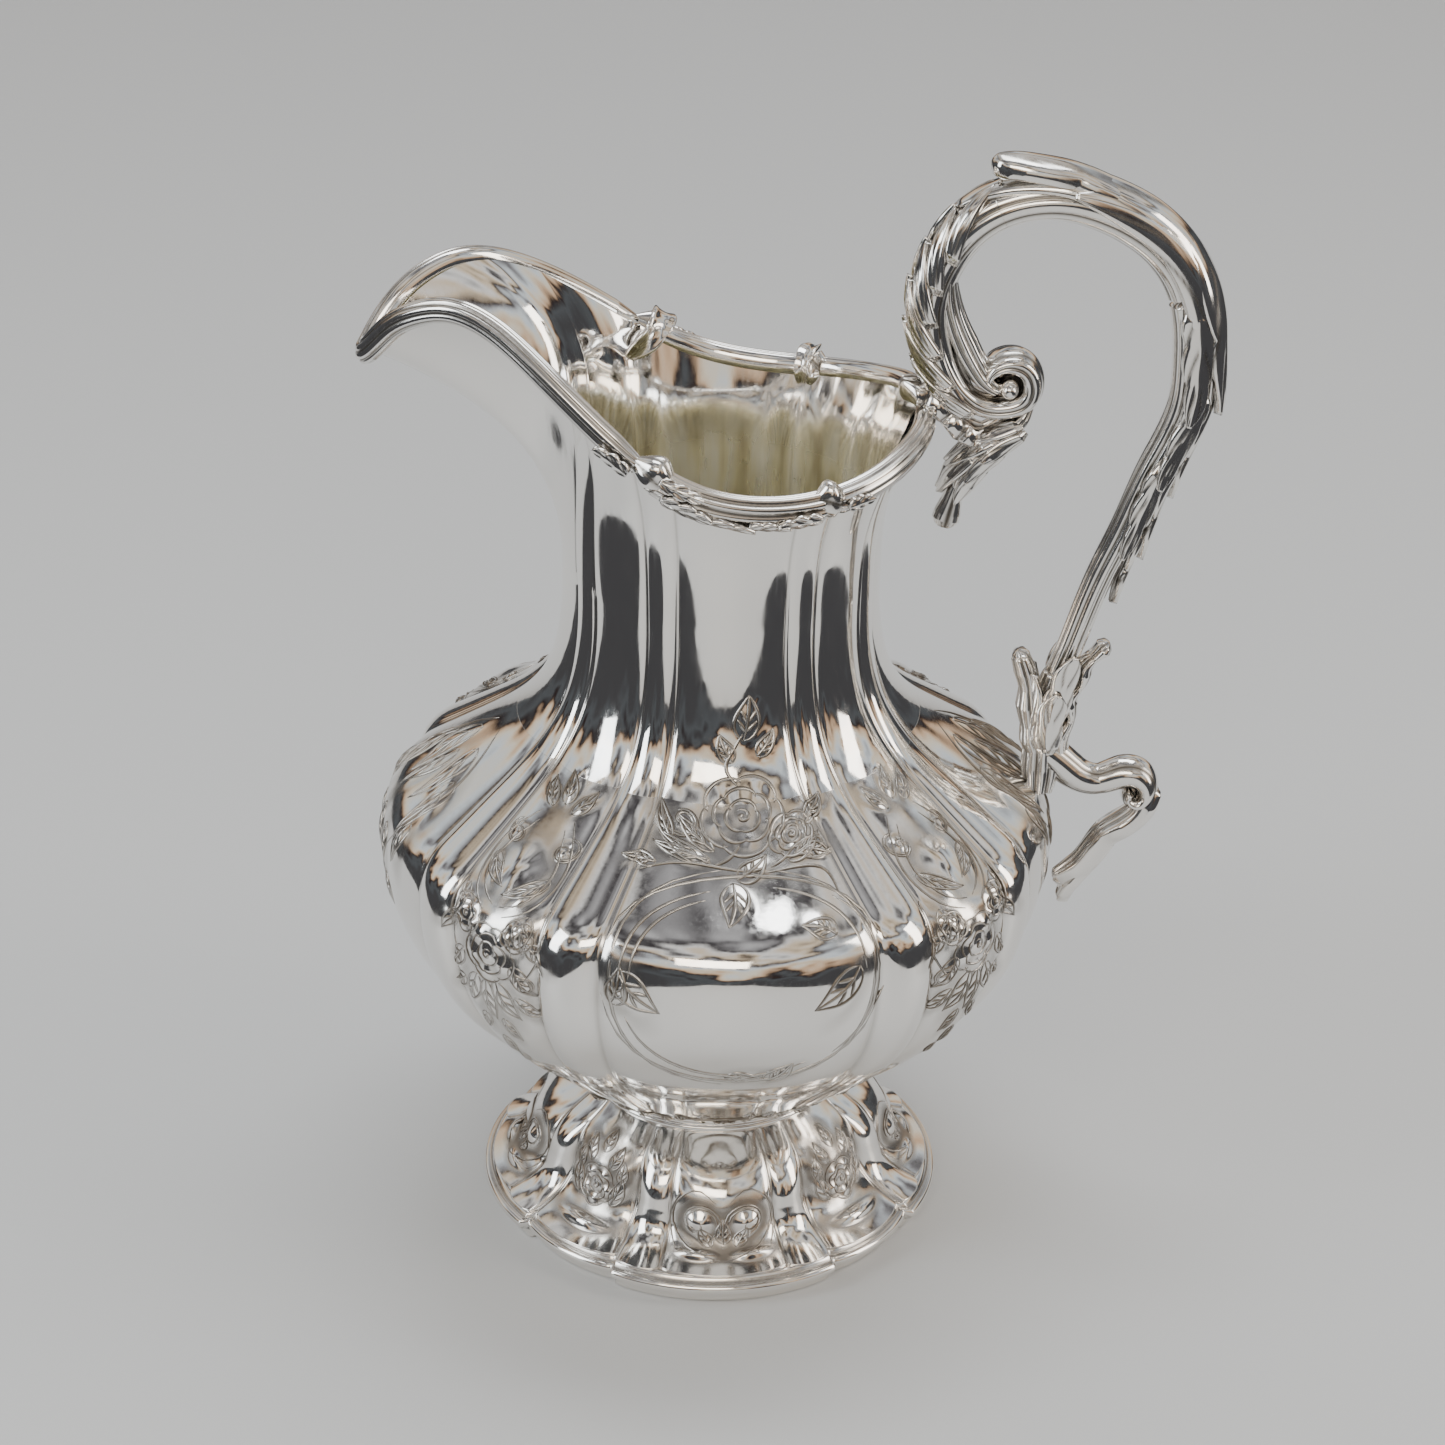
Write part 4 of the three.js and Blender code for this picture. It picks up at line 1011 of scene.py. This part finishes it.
dome_flare = (0.5 * scallop[None] * (1 - ease(dome_line[:, 1:], 8, 16))
              + 2.6 * dome_lobe[None] * ease(dome_line[:, 1:], 9, 18) * (1 - ease(dome_line[:, 1:], 20, 31)))
dome_folds = dome_crease * (1 - foot_swell)[None] - dome_flare
dome_skin = Skin(dome_line, foot_angles, dome_folds, 0 * dome_line[:, :1])
FOOT_ROSES = [(0, 19, 5.2, 5)]
FOOT_LEAVES, FOOT_CURLS, FOOT_LINES = both_sides(
    [(3, 12, 6, 1.6, 34, -0.2)], [(-5.8, 17, 5.2, -60, 1.2)],
    [[(1, 10), (6.4, 10.8), (11.8, 14.6), (11, 21.4), (6, 24.6), (1.6, 22)], [(12, 11), (13, 17), (10, 24)]])
FOOT_LEAVES.append((0, 12.5, 7, 1.9, 0, 0))
FOOT_SPRAY = [(0, 27, 7, 1.6, 0, 0)] + both_sides(
    [(5, 15.4, 8, 1.9, 30, -0.3), (3, 24, 7, 1.7, 24, -0.2), (6.5, 21, 6, 1.5, 10, -0.2)])[0]
foot_work, foot_bumps = [], []
foot_layouts = [(panel, FOOT_LEAVES, [], FOOT_CURLS, FOOT_LINES) for panel in WIDE_PANELS]
foot_layouts += [(panel, FOOT_SPRAY, FOOT_ROSES, [], []) for panel in MEDIUM_PANELS]
for panel, leaves, roses, curls, lines in foot_layouts:
    work, bumps = leafwork(dome_skin, panel, 1, leaves, roses, curls, lines, 1.2)
    foot_work.append(work)
    foot_bumps += bumps
for panel in MEDIUM_PANELS:
    foot_bumps.append((panel, 0, dome_skin.along(11.2), 9.5, 2.4, 90, 1.3))
for panel in WIDE_PANELS:
    for across in (-7, 7):
        foot_bumps.append((panel, across, dome_skin.along(10.6), 6.5, 2.0, 90, 1.1))
        foot_bumps.append((panel, across * 0.8, dome_skin.along(17), 5.4, 4.4, 0, 0.9))
dome_skin.emboss(foot_bumps)
dome_wall = dome_skin.grid
dome_rings = np.concatenate([dome_wall, (dome_wall - SHEET * normals(dome_wall))[::-2]])
# painted shade, mixed with oxide, in the creases and on the ground round the ornament, and painted shade over
# the whole underside
dome_dark = np.concatenate([np.clip(0.6 * (1 - foot_swell)[None] ** 4 + 0.75 * dome_skin.shade, 0, 1),
                            0.5 + 0 * dome_wall[::-2, :, 0]])
dome = make_solid("foot_dome_chased", dome_rings, dome_dark, looped=True)
finish_piece(dome, chased_silver, "foot_dome")
finish_piece(chased_lines("foot_chasing", dome_skin, foot_work, 0.36, 0.24), chased_silver)

ring_section = spline([
    (-5.6, 0.05), (-3.4, 0.0), (-3.0, 0.5), (-2.7, 2.0), (-1.7, 3.4), (-0.5, 4.0), (0.1, 4.8), (0.0, 5.8),
    (-0.8, 6.5), (-1.7, 6.7), (-2.2, 7.3), (-3.0, 7.9), (-4.2, 7.9), (-5.2, 7.6), (-5.7, 6.6), (-5.7, 3)], 60)
ring_section[:, 1] = np.maximum(ring_section[:, 1], 0.03)
ring_out = 55 + scallop[:, None] + ring_section[None, :, 0] + 0.4
ring_rings = turned(foot_angles[:, None] + TWIST, ring_out, ring_section[None, :, 1])
# painted shade, mixed with oxide, in the groove below the bead
ring_dark = 0.7 * np.exp(-((ring_section[:, 1] - 6.9) / 0.35) ** 2)
foot_ring = make_solid("foot_ring_drawn", ring_rings, ring_dark, looped=True)
finish_piece(foot_ring, chased_silver, "foot_ring")
collar_section = spline([(29, 34.4), (31.2, 34.3), (32.0, 35.0), (31.8, 35.9), (31.2, 36.4), (31.6, 37.1),
                         (31.2, 38.2), (29, 38.4), (27.6, 37.6), (27.2, 36.4), (27.6, 35.2)], 40)
collar_rings = turned(np.linspace(0, 360, 240, endpoint=False)[:, None],
                      collar_section[None, :, 0], collar_section[None, :, 1])
finish_piece(make_solid("foot_collar_turned", collar_rings, 0, looped=True), chased_silver, "foot_collar")

# ------------------------------------------------------------------ floor, light and camera
# A plain pale floor and large soft lamps in a soft-toned studio. The floor narrows beside the
# pitcher, so that the darker studio beyond it shows in the silver as long streaks.

floor_mesh = bpy.data.meshes.new("floor")
floor_mesh.from_pydata([(-0.21, -1.1, 0), (0.21, -1.1, 0), (0.21, -0.2, 0), (1.0, 1.4, 0), (-1.0, 1.4, 0),
                        (-0.21, -0.2, 0)], [], [range(6)])
floor = bpy.data.objects.new("floor", floor_mesh)
bpy.context.scene.collection.objects.link(floor)
floor_paint = bpy.data.materials.new("floor_paint")
floor_paint.use_nodes = True
floor_shader = floor_paint.node_tree.nodes["Principled BSDF"]
floor_shader.inputs["Base Color"].default_value = (0.62, 0.64, 0.66, 1)
floor_shader.inputs["Roughness"].default_value = 0.5
floor.data.materials.append(floor_paint)

world = bpy.data.worlds.new("studio")
bpy.context.scene.world = world
world.use_nodes = True
sky_nodes, sky_links = world.node_tree.nodes, world.node_tree.links
sky_place = sky_nodes.new("ShaderNodeTexCoord")
sky_axes = sky_nodes.new("ShaderNodeSeparateXYZ")
sky_links.new(sky_place.outputs["Generated"], sky_axes.inputs["Vector"])
sky_patches = sky_nodes.new("ShaderNodeTexNoise")
sky_patches.inputs["Scale"].default_value = 3.4
sky_patches.inputs["Detail"].default_value = 1.5
sky_links.new(sky_place.outputs["Generated"], sky_patches.inputs["Vector"])
sky_sum = sky_nodes.new("ShaderNodeMath")
sky_sum.operation = "MULTIPLY_ADD"
sky_sum.inputs[1].default_value = 0.6
sky_share = sky_nodes.new("ShaderNodeMath")
sky_share.operation = "MULTIPLY"
sky_share.inputs[1].default_value = 0.6
sky_links.new(sky_axes.outputs["Z"], sky_share.inputs[0])
sky_links.new(sky_patches.outputs["Fac"], sky_sum.inputs[0])
sky_links.new(sky_share.outputs["Value"], sky_sum.inputs[2])
sky_ramp = sky_nodes.new("ShaderNodeValToRGB")
SKY_STOPS = [
    (0.22, (0.07, 0.07, 0.075)), (0.33, (0.10, 0.11, 0.12)), (0.40, (0.03, 0.02, 0.02)),
    (0.45, (0.80, 0.55, 0.36)), (0.51, (0.95, 0.86, 0.70)), (0.58, (0.80, 0.88, 0.95)),
    (0.64, (0.30, 0.30, 0.32)), (0.68, (0.04, 0.03, 0.03)), (0.74, (0.85, 0.70, 0.52)),
    (0.80, (0.95, 0.95, 0.95)), (0.87, (0.05, 0.045, 0.05)), (1.0, (0.6, 0.6, 0.62))]
fill_ramp(sky_ramp, SKY_STOPS)
sky_links.new(sky_sum.outputs["Value"], sky_ramp.inputs["Fac"])
sky_links.new(sky_ramp.outputs["Color"], sky_nodes["Background"].inputs["Color"])
sky_nodes["Background"].inputs["Strength"].default_value = 0.9


def softbox(name, place, size, power, colour):
    """Rectangular lamp aimed at the middle of the pitcher."""
    lamp = bpy.data.lights.new(name, "AREA")
    lamp.shape = "RECTANGLE"
    lamp.size, lamp.size_y = size
    lamp.energy = power
    lamp.color = colour
    holder = bpy.data.objects.new(name, lamp)
    holder.location = place
    aim = Vector((0, 0, 0.13)) - Vector(place)
    holder.rotation_euler = aim.to_track_quat("-Z", "Y").to_euler()
    bpy.context.scene.collection.objects.link(holder)


softbox("top_box", (0.1, 0.3, 1.6), (1.0, 0.6), 12, (0.95, 0.98, 1.0))
softbox("left_box", (-1.3, -0.5, 0.7), (0.5, 1.1), 9, (0.92, 0.97, 1.0))
softbox("right_box", (1.3, -0.3, 0.6), (0.45, 1.0), 7, (1.0, 0.93, 0.85))
softbox("front_box", (-0.25, -1.5, 1.2), (1.1, 0.5), 9, (1.0, 0.90, 0.76))

DISTANCE, ELEVATION, AZIMUTH, ROLL = 0.95, 28.5, -2.0, 1.2
FRAME_MM, FOCAL = 36.0, 97.1
target = Vector((AXIS_X + 0.001, 0, 0.1332))
e, a, r = np.radians([ELEVATION, AZIMUTH, ROLL])
back = Vector((np.sin(a) * np.cos(e), -np.cos(a) * np.cos(e), np.sin(e)))
side = (-back).cross(Vector((0, 0, 1))).normalized()
up = side.cross(-back)
side, up = side * np.cos(r) + up * np.sin(r), up * np.cos(r) - side * np.sin(r)
lens = bpy.data.cameras.new("camera")
lens.sensor_width = FRAME_MM
lens.lens = FOCAL
lens.clip_start = 0.05
camera = bpy.data.objects.new("camera", lens)
turn = Matrix((side, up, back)).transposed().to_4x4()
camera.matrix_world = Matrix.Translation(target + back * DISTANCE) @ turn
bpy.context.scene.collection.objects.link(camera)
bpy.context.scene.camera = camera
